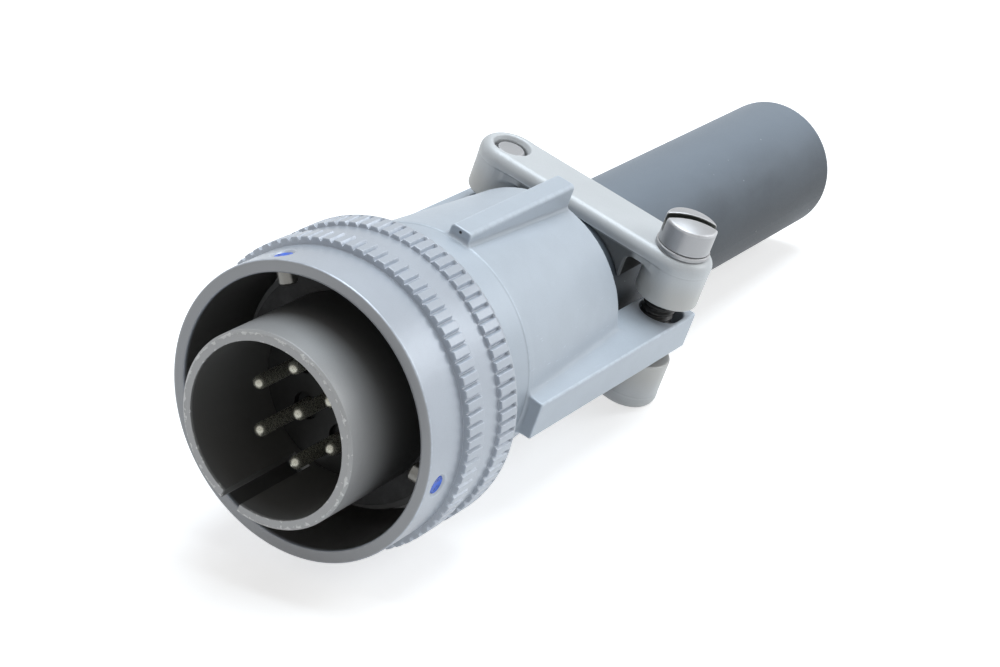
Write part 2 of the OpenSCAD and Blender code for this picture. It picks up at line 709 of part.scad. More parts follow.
plug_shell();
front_insulator();
rear_insulator();
wire_grommet();
grommet_follower();
contact_pin_1();
contact_pin_2();
contact_pin_3();
contact_pin_4();
contact_pin_5();
contact_pin_6();
contact_pin_7();
flange_gasket();
wave_spring();
thrust_washer();
retaining_ring();
coupling_nut();
bayonet_pin_1();
bayonet_pin_2();
bayonet_pin_3();
index_dot_1();
index_dot_2();
index_dot_3();
endbell();
cable_bushing();
clamp_saddle_top();
clamp_saddle_bottom();
clamp_screw_right();
clamp_screw_left();
lock_washer_right();
lock_washer_left();
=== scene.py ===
import math

import bpy
import numpy as np
from mathutils import Matrix, Vector


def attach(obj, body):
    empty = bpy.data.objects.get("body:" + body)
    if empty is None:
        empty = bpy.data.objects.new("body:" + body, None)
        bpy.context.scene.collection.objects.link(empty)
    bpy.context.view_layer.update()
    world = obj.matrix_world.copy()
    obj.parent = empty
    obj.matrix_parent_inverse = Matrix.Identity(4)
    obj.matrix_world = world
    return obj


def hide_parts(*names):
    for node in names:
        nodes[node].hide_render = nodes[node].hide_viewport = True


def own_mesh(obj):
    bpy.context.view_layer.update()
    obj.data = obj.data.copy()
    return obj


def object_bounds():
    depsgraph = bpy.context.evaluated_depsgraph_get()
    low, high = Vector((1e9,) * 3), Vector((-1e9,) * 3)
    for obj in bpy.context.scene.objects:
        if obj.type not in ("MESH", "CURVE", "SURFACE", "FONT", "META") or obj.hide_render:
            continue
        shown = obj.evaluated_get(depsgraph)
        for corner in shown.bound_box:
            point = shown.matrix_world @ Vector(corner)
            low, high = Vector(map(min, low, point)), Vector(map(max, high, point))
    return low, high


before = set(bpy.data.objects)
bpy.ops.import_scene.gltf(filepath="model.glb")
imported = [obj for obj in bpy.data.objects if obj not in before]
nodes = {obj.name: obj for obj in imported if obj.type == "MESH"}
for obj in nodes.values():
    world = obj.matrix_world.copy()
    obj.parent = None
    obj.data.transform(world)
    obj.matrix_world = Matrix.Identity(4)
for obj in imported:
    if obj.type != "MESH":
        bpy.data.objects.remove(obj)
cad_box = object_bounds()
scene = bpy.context.scene

MM = 0.001

# Resting pose of the plug: a roll about its axis, then a pitch. In the plug's own frame Y runs along its axis
# from the barrel's rim and Z along the clamp screws. Sizes are millimetres in that frame
REST_ROLL = 18.5
REST_PITCH = 4.5
LIE = Matrix.Rotation(math.radians(-REST_PITCH), 3, "X") @ Matrix.Rotation(math.radians(REST_ROLL), 3, "Y")
TURN = np.array(LIE)


def own_points(node):
    """Points of a CAD node in the plug's own millimetres."""
    mesh = nodes[node].data
    flat = np.empty(3 * len(mesh.vertices))
    mesh.vertices.foreach_get("co", flat)
    return flat.reshape(-1, 3) @ TURN / MM


def span(node, axis):
    """Lowest and highest place of a CAD node along one of the plug's axes."""
    along = own_points(node)[:, axis]
    return along.min(), along.max()


def reach(node):
    """Largest radius of a CAD node about the plug's axis."""
    p = own_points(node)
    return np.hypot(p[:, 0], p[:, 2]).max()


def row_place(x, y, z):
    """A point in the plug's own millimetres as a place in the row frame."""
    return LIE @ Vector((x, y, z)) * MM


# Sizes read from the solids

X, Y, Z = 0, 1, 2
SAME_PLACE = 0.01
nut_y, nut_end_y = span("coupling_nut", Y)
grip_r = reach("coupling_nut")
endbell_y, ear_end_y = span("endbell", Y)
wing_x = span("endbell", X)[1]
rib_z = span("endbell", Z)[1]
bushing_r = np.ptp(span("cable_bushing", X)) / 2
bushing_z = sum(span("cable_bushing", Z)) / 2
boss_foot_z, saddle_top_z = span("clamp_saddle_top", Z)
saddle_y = span("clamp_saddle_top", Y)
clamp_y = sum(saddle_y) / 2
boss_r = np.ptp(saddle_y) / 2
clamp_x = span("clamp_saddle_top", X)[1] - boss_r
screw_tip_z, screw_top_z = span("clamp_screw_right", Z)
screw_head_r = np.ptp(span("clamp_screw_right", X)) / 2
washer_top_z = span("lock_washer_right", Z)[1]
shell_points = own_points("plug_shell")
rim_points = shell_points[shell_points[:, Y] < shell_points[:, Y].min() + SAME_PLACE]
rim_radii = np.hypot(rim_points[:, X], rim_points[:, Z])
rim_in_r = rim_radii.min()
rim_out_r = rim_radii.max()
dot_y = sum(span("index_dot_1", Y)) / 2
dot_r = np.ptp(span("index_dot_1", Y)) / 2

# Sizes of the coupling nut; angles are degrees

GRIP_TEETH = 78
GRIP_CLOCK = -0.65
GRIP_TWIST = -1.15
GRIP_RISE = 0.5
GRIP_START = 5.95
GRIP_ROW = 2.75
GRIP_GAP = 3.45
TWIST_MARGIN = 0.3
BAND_RISE = 0.35
BAND_START = 0.3
NUT_WALL = 1.45
NUT_REAR_FALL = 0.45
NUT_REAR_RIM = 0.25
NUT_REAR_RIM_FALL = 0.02
NUT_REAR_RIM_SLOPE = 0.01
NUT_RECESS_EDGE = 0.15
NUT_FLANGE_R = 12.1
NUT_FLANGE_Y = 19.45
NUT_RECESS_R = 14.3
NUT_RECESS_Y = 20.9

# Sizes of the index holes and the paint in them

DOT_CLOCK = 2.0
DOT_COUNT = 3
DOT_SINK_R = 1.4
DOT_SEEN_R = 0.98
DOT_DEPTH = 0.3
DOT_LIP = 0.05
DOT_LIP_W = 0.12
DOT_LIP_MARK = 0.8
DOT_SINK_CURVE = 1.15
DOT_WELL = 0.15
DOT_WELL_EDGE = 0.1
DOT_COLUMNS = 33
DOT_COLUMNS_HALF = 1.6
DOT_ROWS = 25
DOT_ROWS_HALF = 1.55
DOT_ROW_STEP = 0.13
DOT_PAINT_DEPTH = 0.2
DOT_PAINT_T = 0.5
DOT_PAINT_DISH = 0.1
DOT_PAINT_EDGE_R = 0.06
DOT_PAINT_ROOM = 1.3
DOT_PAINT_GRID = 0.09

# Edges and blocks of the nut, point by point

# Edge marks above 0 rub an edge bright with wear. Marks below 0 darken a corner or gap floor as painted
# shade. On the grip blocks' walls the marks lighten the whole wall as painted highlight.
# One grip block round the nut: share of the pitch, share of the rise and edge mark
GRIP_BLOCK = [
    (0.0, 0.8, 0.7), (0.015, 0.92, 0.9), (0.04, 0.985, 0.4), (0.07, 1.0, 0.0), (0.33, 1.0, 0.0),
    (0.57, 1.0, 0.0), (0.60, 0.985, 0.4), (0.625, 0.92, 0.8), (0.645, 0.8, 0.7), (0.755, 0.3, 0.5),
    (0.77, 0.2, -0.3), (0.82, 0.15, -0.7), (0.87, 0.2, -0.5), (0.89, 0.3, 0.4),
]
# Open end of a line of grip blocks: distance into the line, share of the rise and edge mark
GRIP_END = [
    (-0.04, 0.0, -0.5), (-0.01, 0.06, -0.4), (0.0, 0.75, 0.5), (0.02, 0.92, 0.9),
    (0.05, 0.985, 0.5), (0.1, 1.0, 0.0), (0.3, 1.0, 0.0),
]
# Closed end of the rear line of blocks: distance from its end, share of the rise
GRIP_CLOSED_END = [(0.15, 1.0), (0.02, 1.0)]
# Edge of the nut's bore at its mouth: back from the face, out from the bore and edge mark
NUT_MOUTH = [(0.45, 0.0, 0.0), (0.25, 0.0, 0.2), (0.07, 0.04, 0.9), (0.0, 0.18, 0.6), (0.0, 0.3, 0.0)]
# Outer edge of the nut's face: back from the face, in from the front band and edge mark
NUT_FACE_EDGE = [
    (0.0, 0.36, 0.0), (0.0, 0.25, 0.5), (0.05, 0.09, 1.0), (0.13, 0.02, 1.0), (0.26, 0.0, 0.4),
    (0.38, 0.0, 0.0),
]
# Foot of the step from the front band to the blocks: ahead of the line, up from the band and edge mark
BAND_STEP = [(0.5, 0.0, 0.0), (0.12, 0.0, 0.0), (0.04, 0.0, -0.5), (0.01, 0.03, -0.3)]
# Outer edge of the nut's back: ahead of the end, out from the rear edge and edge mark
NUT_BACK_EDGE = [(0.3, 0.27, 0.2), (0.06, 0.0, 1.0), (0.0, -0.15, 0.5)]

# Outer radius of the plug shell's barrel

SHELL_R = 11.0

# Sizes of the endbell

ENDBELL_SIDE = -0.35
COLLAR_R = 14.5
COLLAR_TAPER = 0.06
COLLAR_LEN = 6.7
COLLAR_OVERLAP = 1.0
COLLAR_FILLET = 0.15
BARREL_FRONT_R = 14.6
BARREL_REAR_R = 12.95
BARREL_LEN = 29.1
BARREL_EDGE_R = 0.2
RIB_W = 2.8
RIB_GAP = 0.15
RIB_EDGE_R = 0.55
RIB_END_R = 0.15
RIB_FILLET = 0.5
RIB_GROW = 0.2
RIB_BACK = 0.1
WING_T = 4.8
WING_FILLET = 1.8
WING_JOIN = 0.4
WING_FRONT_R = 0.15
WING_CORE_INSET = 0.5
EAR_INNER_X = 10.0
EAR_HOLE_R = 2.55
EAR_SLOT = 0.8
EAR_CORNER_R = 0.4
THREAD_BORE_R = 12.1
REAR_BORE_R = 9.8
THROAT_R = 11.2
THROAT_Y = 38.3
THROAT_LEN = 4.0
THROAT_STEP = 0.01
BORE_EDGE_R = 0.3
CAST_EDGE_R = 0.25
ENDBELL_GRID = 0.14
ENDBELL_WIDE_GRID = 0.55
ENDBELL_LONG_GRID = 0.7

# Sizes of the clamp saddles

SADDLE_SIDE = 0.2
SADDLE_BACK = 0.1
SADDLE_GROW = 0.12
BAR_T = 1.8
BAR_EDGE_R = 1.25
BAR_FOOT_R = 0.15
POST_FOOT_R = 0.3
PAD_INSET = 0.35
PAD_GAP = 0.1
PAD_SHORT = 1.6
PAD_OVERLAP = 0.6
PAD_EDGE_R = 0.2
PAD_HUG_R = 0.25
ARCH_R = 0.95
ARCH_X = 7.5
ARCH_WEB = 0.95
ARCH_FILLET = 0.9
ARCH_EDGE_R = 0.3
HOLE_GAP = 0.08
HOLE_FLARE = 0.55
HOLE_FLARE_DEPTH = 0.6
HOLE_EDGE_R = 0.2
SADDLE_GRID = 0.1
SADDLE_WIDE_GRID = 0.35
SADDLE_DEEP_GRID = 0.3

# Sizes of the clamp screws and lock washers

SCREW_R = 2.05
SCREW_PITCH = 0.794
SCREW_SLOT_W = 1.1
SCREW_SLOT_DEPTH = 1.6
SCREW_SLOT_ANGLE = 35.0
SCREW_SLOT_EDGE_R = 0.14
SCREW_CROWN = 0.6
SCREW_CROWN_EDGE_R = 0.25
SCREW_HEAD_GAP = 0.04
SCREW_HEAD_EDGE_R = 0.15
SCREW_PLAIN = 1.0
SCREW_POINT = 0.45
SCREW_OVERLAP = 0.5
SCREW_FILLET = 0.2
SCREW_GRID = 0.13
THREAD_DEPTH = 0.55
THREAD_STEEPNESS = 1.25
THREAD_FLAT = 0.15
FLANK_SLOPE = 0.75
POINT_SLOPE = 0.7
WASHER_R = 3.35
WASHER_T = 0.6
WASHER_GAP = 0.15
WASHER_EDGE_R = 0.15
WASHER_SPLIT = 0.5
WASHER_SPLIT_EDGE_R = 0.08
WASHER_GRID = 0.11
WASHER_FLAT_GRID = 0.06

# Sizes that follow from those above

band_r = grip_r - GRIP_RISE
front_r = band_r - BAND_RISE
bore_r = front_r - NUT_WALL
rear_r = band_r - NUT_REAR_FALL
collar_end = endbell_y + COLLAR_LEN
barrel_end = endbell_y + BARREL_LEN
rib_y = collar_end + RIB_GAP
ear_hole_x = (EAR_INNER_X + wing_x) / 2
bar_foot_z = saddle_top_z - BAR_T
arch_top_z = bar_foot_z - ARCH_WEB
washer_z = saddle_top_z + WASHER_T
head_top_z = screw_top_z + washer_z - washer_top_z
post_r = boss_r + SADDLE_GROW
wing_reach = wing_x - ENDBELL_SIDE

# Mesh helpers

GRID_MARGIN = 1.5
GRID_GROWTH = 0.3
SLIDE_PASSES = 4
SLIDE_PROBE = 0.01
SLIDE_MOST = 0.3
SLOPE_LEAST = 0.2
EDGE_PROBE = 0.18
EDGE_GAIN = 0.35
TINY = 1e-12


def point_normals(points, faces):
    """Normal at each point: the mean over its faces, weighed by their areas so that broad faces stay flat."""
    a, b, c, d = (points[faces[:, i]] for i in range(4))
    across = np.cross(c - a, d - b)
    total = np.zeros_like(points)
    for i in range(4):
        np.add.at(total, faces[:, i], across)
    return total / np.maximum(np.linalg.norm(total, axis=1, keepdims=True), TINY)


def make_piece(name, points, faces, edge, body, replaced, slot):
    """Mesh piece that rides a body, stands for a CAD node and keeps an edge value per point."""
    mesh = bpy.data.meshes.new(name)
    mesh.from_pydata((points @ TURN.T * MM).tolist(), [], faces.tolist())
    mesh.update()
    mesh.shade_smooth()
    mesh.normals_split_custom_set_from_vertices((point_normals(points, faces) @ TURN.T).tolist())
    layer = mesh.attributes.new("edge", "FLOAT", "POINT")
    layer.data.foreach_set("value", np.ascontiguousarray(edge, dtype=np.float32))
    piece = bpy.data.objects.new(name, mesh)
    scene.collection.objects.link(piece)
    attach(piece, body)
    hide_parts(replaced)
    return piece


def slab(v, low, high):
    """Field of the space between two planes."""
    return np.maximum(low - v, v - high)


def rounded(fields, r):
    """Common space of fields that meet at right angles, its edges rounded to radius r."""
    grown = [f + r for f in fields]
    outside = np.sqrt(sum(np.maximum(f, 0) ** 2 for f in grown))
    inside = np.minimum(np.maximum.reduce(np.broadcast_arrays(*grown)), 0)
    return outside + inside - r


def join(a, b, k):
    """Two fields as one, with a fillet of about k millimetres."""
    h = np.clip(0.5 + 0.5 * (b - a) / k, 0, 1)
    return b + (a - b) * h - k * h * (1 - h)


def cut(a, b, k):
    """Field a without field b, the new edge rounded by about k millimetres."""
    return -join(-a, b, k)


def both(*values):
    """Each value with its mirror image."""
    return [side * v for v in values for side in (-1, 1)]


def stations(low, high, fine, coarse, marks):
    """Grid places from low to high, close together near the marks and further apart between them."""
    places = [low - GRID_MARGIN * fine]
    while places[-1] < high + GRID_MARGIN * fine:
        away = min(abs(places[-1] - m) for m in marks)
        places.append(places[-1] + min(max(GRID_GROWTH * away, fine), coarse))
    return np.array(places)


def even_stations(low, high, step):
    """Grid places from low to high, all one step apart."""
    return stations(low, high, step, step, [low])


def crossings(value):
    """Mean place where the surface crosses each cell's edges, as a share of the cell, and their number."""
    cells = np.array(value.shape) - 1
    total = np.zeros((*cells, 3))
    count = np.zeros(cells)
    for axis in range(3):
        u, w = [i for i in range(3) if i != axis]
        for du in (0, 1):
            for dw in (0, 1):
                start = [None, None, None]
                start[axis] = slice(0, cells[axis])
                start[u] = slice(du, cells[u] + du)
                start[w] = slice(dw, cells[w] + dw)
                end = list(start)
                end[axis] = slice(1, cells[axis] + 1)
                a = value[tuple(start)]
                b = value[tuple(end)]
                crossed = (a < 0) != (b < 0)
                total[..., axis] += np.where(crossed, a / np.where(crossed, a - b, 1), 0)
                total[..., u] += crossed * du
                total[..., w] += crossed * dw
                count += crossed
    return total / np.maximum(count, 1)[..., None], count


def net(field, axes):
    """Surface of a field as points and four-sided faces: one point in each cell that it crosses."""
    value = field(*np.meshgrid(*axes, indexing="ij"))
    share, count = crossings(value)
    where = np.argwhere(count > 0)
    index = np.full(count.shape, -1)
    index[tuple(where.T)] = np.arange(len(where))
    inside = share[tuple(where.T)].T
    points = np.stack([a[i] + s * (a[i + 1] - a[i]) for a, i, s in zip(axes, where.T, inside)], 1)
    ring = [(-1, -1), (0, -1), (0, 0), (-1, 0)]
    faces = []
    for axis in range(3):
        u = (axis + 1) % 3
        w = (axis + 2) % 3
        here = [slice(1, -1)] * 3
        there = [slice(1, -1)] * 3
        here[axis] = slice(0, -1)
        there[axis] = slice(1, None)
        a = value[tuple(here)] < 0
        b = value[tuple(there)] < 0
        for inside_first in (True, False):
            spot = np.argwhere((a != b) & (a == inside_first)) + 1
            spot[:, axis] -= 1
            corners = []
            for du, dw in ring if inside_first else ring[::-1]:
                cell = spot.copy()
                cell[:, u] += du
                cell[:, w] += dw
                corners.append(index[tuple(cell.T)])
            faces.append(np.stack(corners, 1))
    return points, np.concatenate(faces)


def slope(field, points, e):
    """Value, gradient and summed second differences of a field at points."""
    middle = field(*points.T)
    grad = []
    bend = 0
    for axis in range(3):
        step = np.zeros(3)
        step[axis] = e
        up = field(*(points + step).T)
        down = field(*(points - step).T)
        grad.append((up - down) / (2 * e))
        bend = bend + (up + down - 2 * middle) / (e * e)
    return middle, np.stack(grad, 1), bend


def surface(field, axes):
    """Points, faces and edge values of a field: points slide onto it, and its bend marks the edges."""
    points, faces = net(field, axes)
    for _ in range(SLIDE_PASSES):
        value, grad, _bend = slope(field, points, SLIDE_PROBE)
        move = value / np.maximum((grad ** 2).sum(1), SLOPE_LEAST)
        points = points - np.clip(move, -SLIDE_MOST, SLIDE_MOST)[:, None] * grad
    bend = slope(field, points, EDGE_PROBE)[2]
    return points, faces, np.clip(EDGE_GAIN * bend, -1, 1)


# Coupling nut: a profile swept round the axis, with crisp grip blocks and sunk index holes


def dot_angles():
    return [math.radians(DOT_CLOCK + i * 360 / DOT_COUNT) for i in range(DOT_COUNT)]


def grip_columns():
    """Angles round the nut, the grip blocks' rise and edge marks there, closer together at index holes."""
    pitch = 2 * math.pi / GRIP_TEETH
    start = math.radians(GRIP_CLOCK)
    angle = np.array([start + (t + step[0]) * pitch for t in range(GRIP_TEETH) for step in GRIP_BLOCK])
    near = np.linspace(-DOT_COLUMNS_HALF, DOT_COLUMNS_HALF, DOT_COLUMNS) / front_r
    extra = np.concatenate([dot + near for dot in dot_angles()])
    extra = start + np.mod(extra - start, 2 * math.pi)
    every = np.concatenate([angle, extra])
    order = np.argsort(every)
    columns = [every[order]]
    for part in (1, 2):
        value = np.array([step[part] for _ in range(GRIP_TEETH) for step in GRIP_BLOCK])
        between = np.interp(extra, angle, value, period=2 * math.pi)
        columns.append(np.concatenate([value, between])[order])
    return columns


def grip_rows(y, closed):
    """Rows over one line of grip blocks: station, base radius, share of the blocks' rise and edge mark."""
    end_y = y + GRIP_ROW
    rows = [(y + d, band_r, share, mark) for d, share, mark in GRIP_END]
    if closed:
        rows += [(end_y - d, band_r, share, 0.0) for d, share in GRIP_CLOSED_END]
        rim_r = grip_r - NUT_REAR_RIM_FALL
        rows += [(end_y, rim_r, 0.0, 0.2), (end_y + NUT_REAR_RIM, rim_r - NUT_REAR_RIM_SLOPE, 0.0, 0.5)]
        return rows
    return rows + [(end_y - d, band_r, share, mark) for d, share, mark in reversed(GRIP_END)]


def nut_rows():
    """Rows of the nut's whole section, from the bore's mouth outwards and back along the inside."""
    row_1 = nut_y + GRIP_START
    row_2 = row_1 + GRIP_ROW + GRIP_GAP
    rows = [(nut_y + back, bore_r + out, 0, mark) for back, out, mark in NUT_MOUTH]
    rows += [(nut_y + back, front_r - fall, 0, mark) for back, fall, mark in NUT_FACE_EDGE]
    rows += [(dot_y - DOT_ROWS_HALF + i * DOT_ROW_STEP, front_r, 0, 0) for i in range(DOT_ROWS)]
    rows += [(row_1 - ahead, front_r + up, 0, mark) for ahead, up, mark in BAND_STEP]
    rows += grip_rows(row_1, False)[2:]
    rows += [(row_1 + GRIP_ROW + TWIST_MARGIN, band_r, 0, 0), (row_2 - TWIST_MARGIN, band_r, 0, 0)]
    rows += grip_rows(row_2, True)
    rows += [(nut_end_y - ahead, rear_r + out, 0, mark) for ahead, out, mark in NUT_BACK_EDGE]
    rows += [
        (nut_end_y, NUT_RECESS_R + NUT_RECESS_EDGE, 0, 0.4),
        (nut_end_y - NUT_RECESS_EDGE, NUT_RECESS_R, 0, 0.4),
        (NUT_RECESS_Y, NUT_RECESS_R, 0, -0.5), (NUT_RECESS_Y, NUT_FLANGE_R, 0, 0.5),
        (NUT_FLANGE_Y, NUT_FLANGE_R, 0, 0.5), (NUT_FLANGE_Y, bore_r, 0, -0.5),
    ]
    return np.array(rows)


def coupling_nut():
    angle, rise, side = grip_columns()
    y, base, share, mark = nut_rows().T
    r = base[:, None] + GRIP_RISE * share[:, None] * rise[None, :]
    # On the grip blocks the column marks lighten the walls as painted highlight and darken the gap floors as
    # painted shade.
    on_blocks = np.maximum(mark[:, None], 0) * (rise > 0.5) + share[:, None] * side
    edge = np.where(share[:, None] > 0.5, on_blocks, mark[:, None])
    on_band = (base == front_r) & (y > nut_y + BAND_START) & (y < nut_y + GRIP_START)
    for dot in dot_angles():
        across = (np.mod(angle - dot + math.pi, 2 * math.pi) - math.pi) * front_r
        away = np.hypot(across[None, :], (y - dot_y)[:, None])
        fall = np.clip((DOT_SINK_R + DOT_LIP - away) / (DOT_SINK_R - DOT_SEEN_R), 0, 1)
        well = DOT_WELL * np.clip((DOT_SEEN_R - away) / DOT_WELL_EDGE, 0, 1)
        r = r - (DOT_DEPTH * fall ** DOT_SINK_CURVE + well) * on_band[:, None]
        lip = np.exp(-((away - DOT_SINK_R) / DOT_LIP_W) ** 2)
        edge = np.maximum(edge, DOT_LIP_MARK * lip * on_band[:, None])
    row_1_end = nut_y + GRIP_START + GRIP_ROW
    between_rows = [row_1_end + TWIST_MARGIN, row_1_end + GRIP_GAP - TWIST_MARGIN]
    twist = np.interp(y, between_rows, [0, math.radians(GRIP_TWIST)])
    turned_by = angle[None, :] + twist[:, None]
    points = np.stack([r * np.cos(turned_by), y[:, None] + np.zeros_like(r), r * np.sin(turned_by)], -1)
    m, n = r.shape
    row, col = np.meshgrid(np.arange(m), np.arange(n), indexing="ij")
    down = (row + 1) % m
    over = (col + 1) % n
    faces = np.stack([row * n + col, down * n + col, down * n + over, row * n + over], -1).reshape(-1, 4)
    return make_piece("coupling_nut_skin", points.reshape(-1, 3), faces, np.clip(edge, -1, 1).ravel(),
                      "coupling_ring", "coupling_nut", "satin_nut")


def index_dot(number, angle):
    """Enamel in an index hole: a disc whose face hollows towards its middle."""
    top_r = front_r - DOT_PAINT_DEPTH
    out = (math.cos(angle), math.sin(angle))

    def field(x, y, z):
        away = np.hypot(z * out[0] - x * out[1], y - dot_y)
        height = x * out[0] + z * out[1]
        dish = top_r - DOT_PAINT_DISH * np.clip(1 - (away / dot_r) ** 2, 0, 1)
        return rounded([away - dot_r, slab(height, top_r - DOT_PAINT_T, dish)], DOT_PAINT_EDGE_R)

    middle = (out[0] * top_r, dot_y, out[1] * top_r)
    axes = [even_stations(c - DOT_PAINT_ROOM, c + DOT_PAINT_ROOM, DOT_PAINT_GRID) for c in middle]
    return make_piece(f"index_paint_{number}", *surface(field, axes),
                      "coupling_ring", f"index_dot_{number}", "blue_paint")


def wave_spring():
    """Wave spring, which flattens against the shell's flange as the nut is pushed on: here a copy of the CAD
    node's mesh that rides the plug's body, left as it is.
    """
    mesh = nodes["wave_spring"].data.copy()
    mesh.name = "wave_spring_strip"
    piece = bpy.data.objects.new("wave_spring_strip", mesh)
    scene.collection.objects.link(piece)
    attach(piece, "plug_body")
    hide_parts("wave_spring")
    low, high = span("wave_spring", Y)
    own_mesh(piece)
    return piece


# Cast pieces and screws as fields


def endbell_field(x, y, z):
    u = x - ENDBELL_SIDE
    r = np.hypot(u, z)
    side = np.abs(u)
    rise = np.abs(z)
    taper = (BARREL_REAR_R - BARREL_FRONT_R) / (barrel_end - collar_end)
    cone = r - BARREL_FRONT_R - taper * (y - collar_end)
    neck_r = COLLAR_R - COLLAR_TAPER * np.maximum(collar_end - y, 0)
    collar = rounded([r - neck_r, slab(y, endbell_y, collar_end + COLLAR_OVERLAP)], BARREL_EDGE_R)
    barrel = rounded([cone, slab(y, collar_end, barrel_end)], BARREL_EDGE_R)
    ridge = rounded([side - RIB_W / 2, rise - rib_z - RIB_GROW], RIB_EDGE_R)
    rib = rounded([ridge, slab(y, rib_y, barrel_end + RIB_BACK)], RIB_END_R)
    plan = rounded([side - wing_reach, y - ear_end_y], EAR_CORNER_R)
    plate = rounded([plan, rise - WING_T / 2], CAST_EDGE_R)
    core = np.maximum(cone, y - barrel_end) + WING_CORE_INSET
    wing = rounded([join(core, plate, WING_FILLET), rib_y - y], WING_FRONT_R)
    body = join(join(join(collar, barrel, COLLAR_FILLET), rib, RIB_FILLET), wing, WING_JOIN)
    inner_y = [THROAT_Y - THROAT_STEP, THROAT_Y, THROAT_Y + THROAT_LEN]
    bore = np.hypot(x, z) - np.interp(y, inner_y, [THREAD_BORE_R, THROAT_R, REAR_BORE_R])
    between_ears = np.maximum(np.abs(x) - EAR_INNER_X, barrel_end - y)
    along = y - np.clip(y, clamp_y, clamp_y + EAR_SLOT)
    hole = np.hypot(np.abs(x) - ear_hole_x, along) - EAR_HOLE_R
    return cut(cut(body, np.minimum(bore, between_ears), BORE_EDGE_R), hole, CAST_EDGE_R)


def endbell_axes():
    left = ENDBELL_SIDE - wing_reach
    hole_x = both(ear_hole_x - EAR_HOLE_R, ear_hole_x + EAR_HOLE_R)
    ridge_x = [ENDBELL_SIDE + v for v in both(RIB_W / 2)]
    hole_y = [clamp_y - EAR_HOLE_R, clamp_y + EAR_HOLE_R + EAR_SLOT]
    top = rib_z + RIB_GROW
    across = [left, wing_x] + both(EAR_INNER_X) + hole_x + ridge_x
    along = [endbell_y, rib_y, barrel_end, ear_end_y] + hole_y
    return [
        stations(left, wing_x, ENDBELL_GRID, ENDBELL_WIDE_GRID, across),
        stations(endbell_y, ear_end_y, ENDBELL_GRID, ENDBELL_LONG_GRID, along),
        stations(-top, top, ENDBELL_GRID, ENDBELL_WIDE_GRID, both(top, WING_T / 2)),
    ]


def saddle_field(x, y, z):
    v = y - clamp_y - SADDLE_BACK
    side = np.abs(x - SADDLE_SIDE)
    outline = np.hypot(np.maximum(side - clamp_x, 0), v) - post_r
    bar = cut(rounded([outline, z - saddle_top_z], BAR_EDGE_R), z - bar_foot_z, BAR_FOOT_R)
    crown = rounded([np.hypot(side - clamp_x, v) - post_r, z - saddle_top_z], BAR_EDGE_R)
    post = rounded([crown, boss_foot_z - z], POST_FOOT_R)
    low = slab(z, boss_foot_z, bar_foot_z + PAD_OVERLAP)
    pad = rounded([side - clamp_x + PAD_SHORT, np.abs(v) - post_r + PAD_INSET, low], PAD_EDGE_R)
    arch = rounded([ARCH_X - side, z - arch_top_z], ARCH_R)
    whole = join(bar, join(post, cut(pad, arch, ARCH_EDGE_R), ARCH_FILLET), BAR_FOOT_R)
    hug = np.hypot(x, z - bushing_z) - bushing_r - PAD_GAP
    flare = HOLE_FLARE * np.maximum(z - saddle_top_z + HOLE_FLARE_DEPTH, 0)
    holes = np.hypot(np.abs(x) - clamp_x, y - clamp_y) - SCREW_R - HOLE_GAP - flare * (x < 0)
    return cut(cut(whole, hug, PAD_HUG_R), holes, HOLE_EDGE_R)


def saddle_axes():
    half = clamp_x + post_r
    low = SADDLE_SIDE - half
    high = SADDLE_SIDE + half
    middle_y = clamp_y + SADDLE_BACK
    across = [low, high] + both(clamp_x - post_r, clamp_x - SCREW_R, clamp_x + SCREW_R, ARCH_X)
    along = [middle_y + v for v in both(post_r, post_r - PAD_INSET, SCREW_R)]
    levels = [boss_foot_z, arch_top_z, bar_foot_z, saddle_top_z]
    return [
        stations(low, high, SADDLE_GRID, SADDLE_WIDE_GRID, across),
        stations(middle_y - post_r, middle_y + post_r, SADDLE_GRID, SADDLE_DEEP_GRID, along),
        stations(boss_foot_z, saddle_top_z, SADDLE_GRID, SADDLE_DEEP_GRID, levels),
    ]


def screw_field(x, y, z):
    u = x - clamp_x
    v = y - clamp_y
    r = np.hypot(u, v)
    ball_r = (screw_head_r ** 2 + SCREW_CROWN ** 2) / (2 * SCREW_CROWN)
    crown = np.hypot(r, z - head_top_z + ball_r) - ball_r
    head = rounded([r - screw_head_r, washer_z + SCREW_HEAD_GAP - z], SCREW_HEAD_EDGE_R)
    head = cut(head, -crown, SCREW_CROWN_EDGE_R)
    angle = math.radians(SCREW_SLOT_ANGLE)
    across = np.abs(v * math.cos(angle) - u * math.sin(angle)) - SCREW_SLOT_W / 2
    head = cut(head, np.maximum(across, head_top_z - SCREW_SLOT_DEPTH - z), SCREW_SLOT_EDGE_R)
    turn = np.mod(np.arctan2(v, u) / (2 * math.pi) - z / SCREW_PITCH, 1.0)
    groove = np.clip(THREAD_STEEPNESS * np.abs(2 * turn - 1) - THREAD_FLAT, 0, 1)
    threaded = np.clip((washer_z - SCREW_PLAIN - z) / SCREW_PITCH, 0, 1)
    shank = FLANK_SLOPE * (r - SCREW_R + groove * THREAD_DEPTH * SCREW_PITCH * threaded)
    point = POINT_SLOPE * (r - SCREW_R + SCREW_POINT - (z - screw_tip_z))
    shank = np.maximum(np.maximum(shank, point), slab(z, screw_tip_z, washer_z + SCREW_OVERLAP))
    return join(head, shank, SCREW_FILLET)


def screw_axes():
    low = (clamp_x - screw_head_r, clamp_y - screw_head_r, screw_tip_z)
    high = (clamp_x + screw_head_r, clamp_y + screw_head_r, head_top_z)
    return [even_stations(a, b, SCREW_GRID) for a, b in zip(low, high)]


def washer_field(x, y, z):
    u = x - clamp_x
    v = y - clamp_y
    band = slab(np.hypot(u, v), SCREW_R + WASHER_GAP, WASHER_R)
    ring = rounded([band, slab(z, saddle_top_z, washer_z)], WASHER_EDGE_R)
    return cut(ring, np.maximum(np.abs(u) - WASHER_SPLIT / 2, -v), WASHER_SPLIT_EDGE_R)


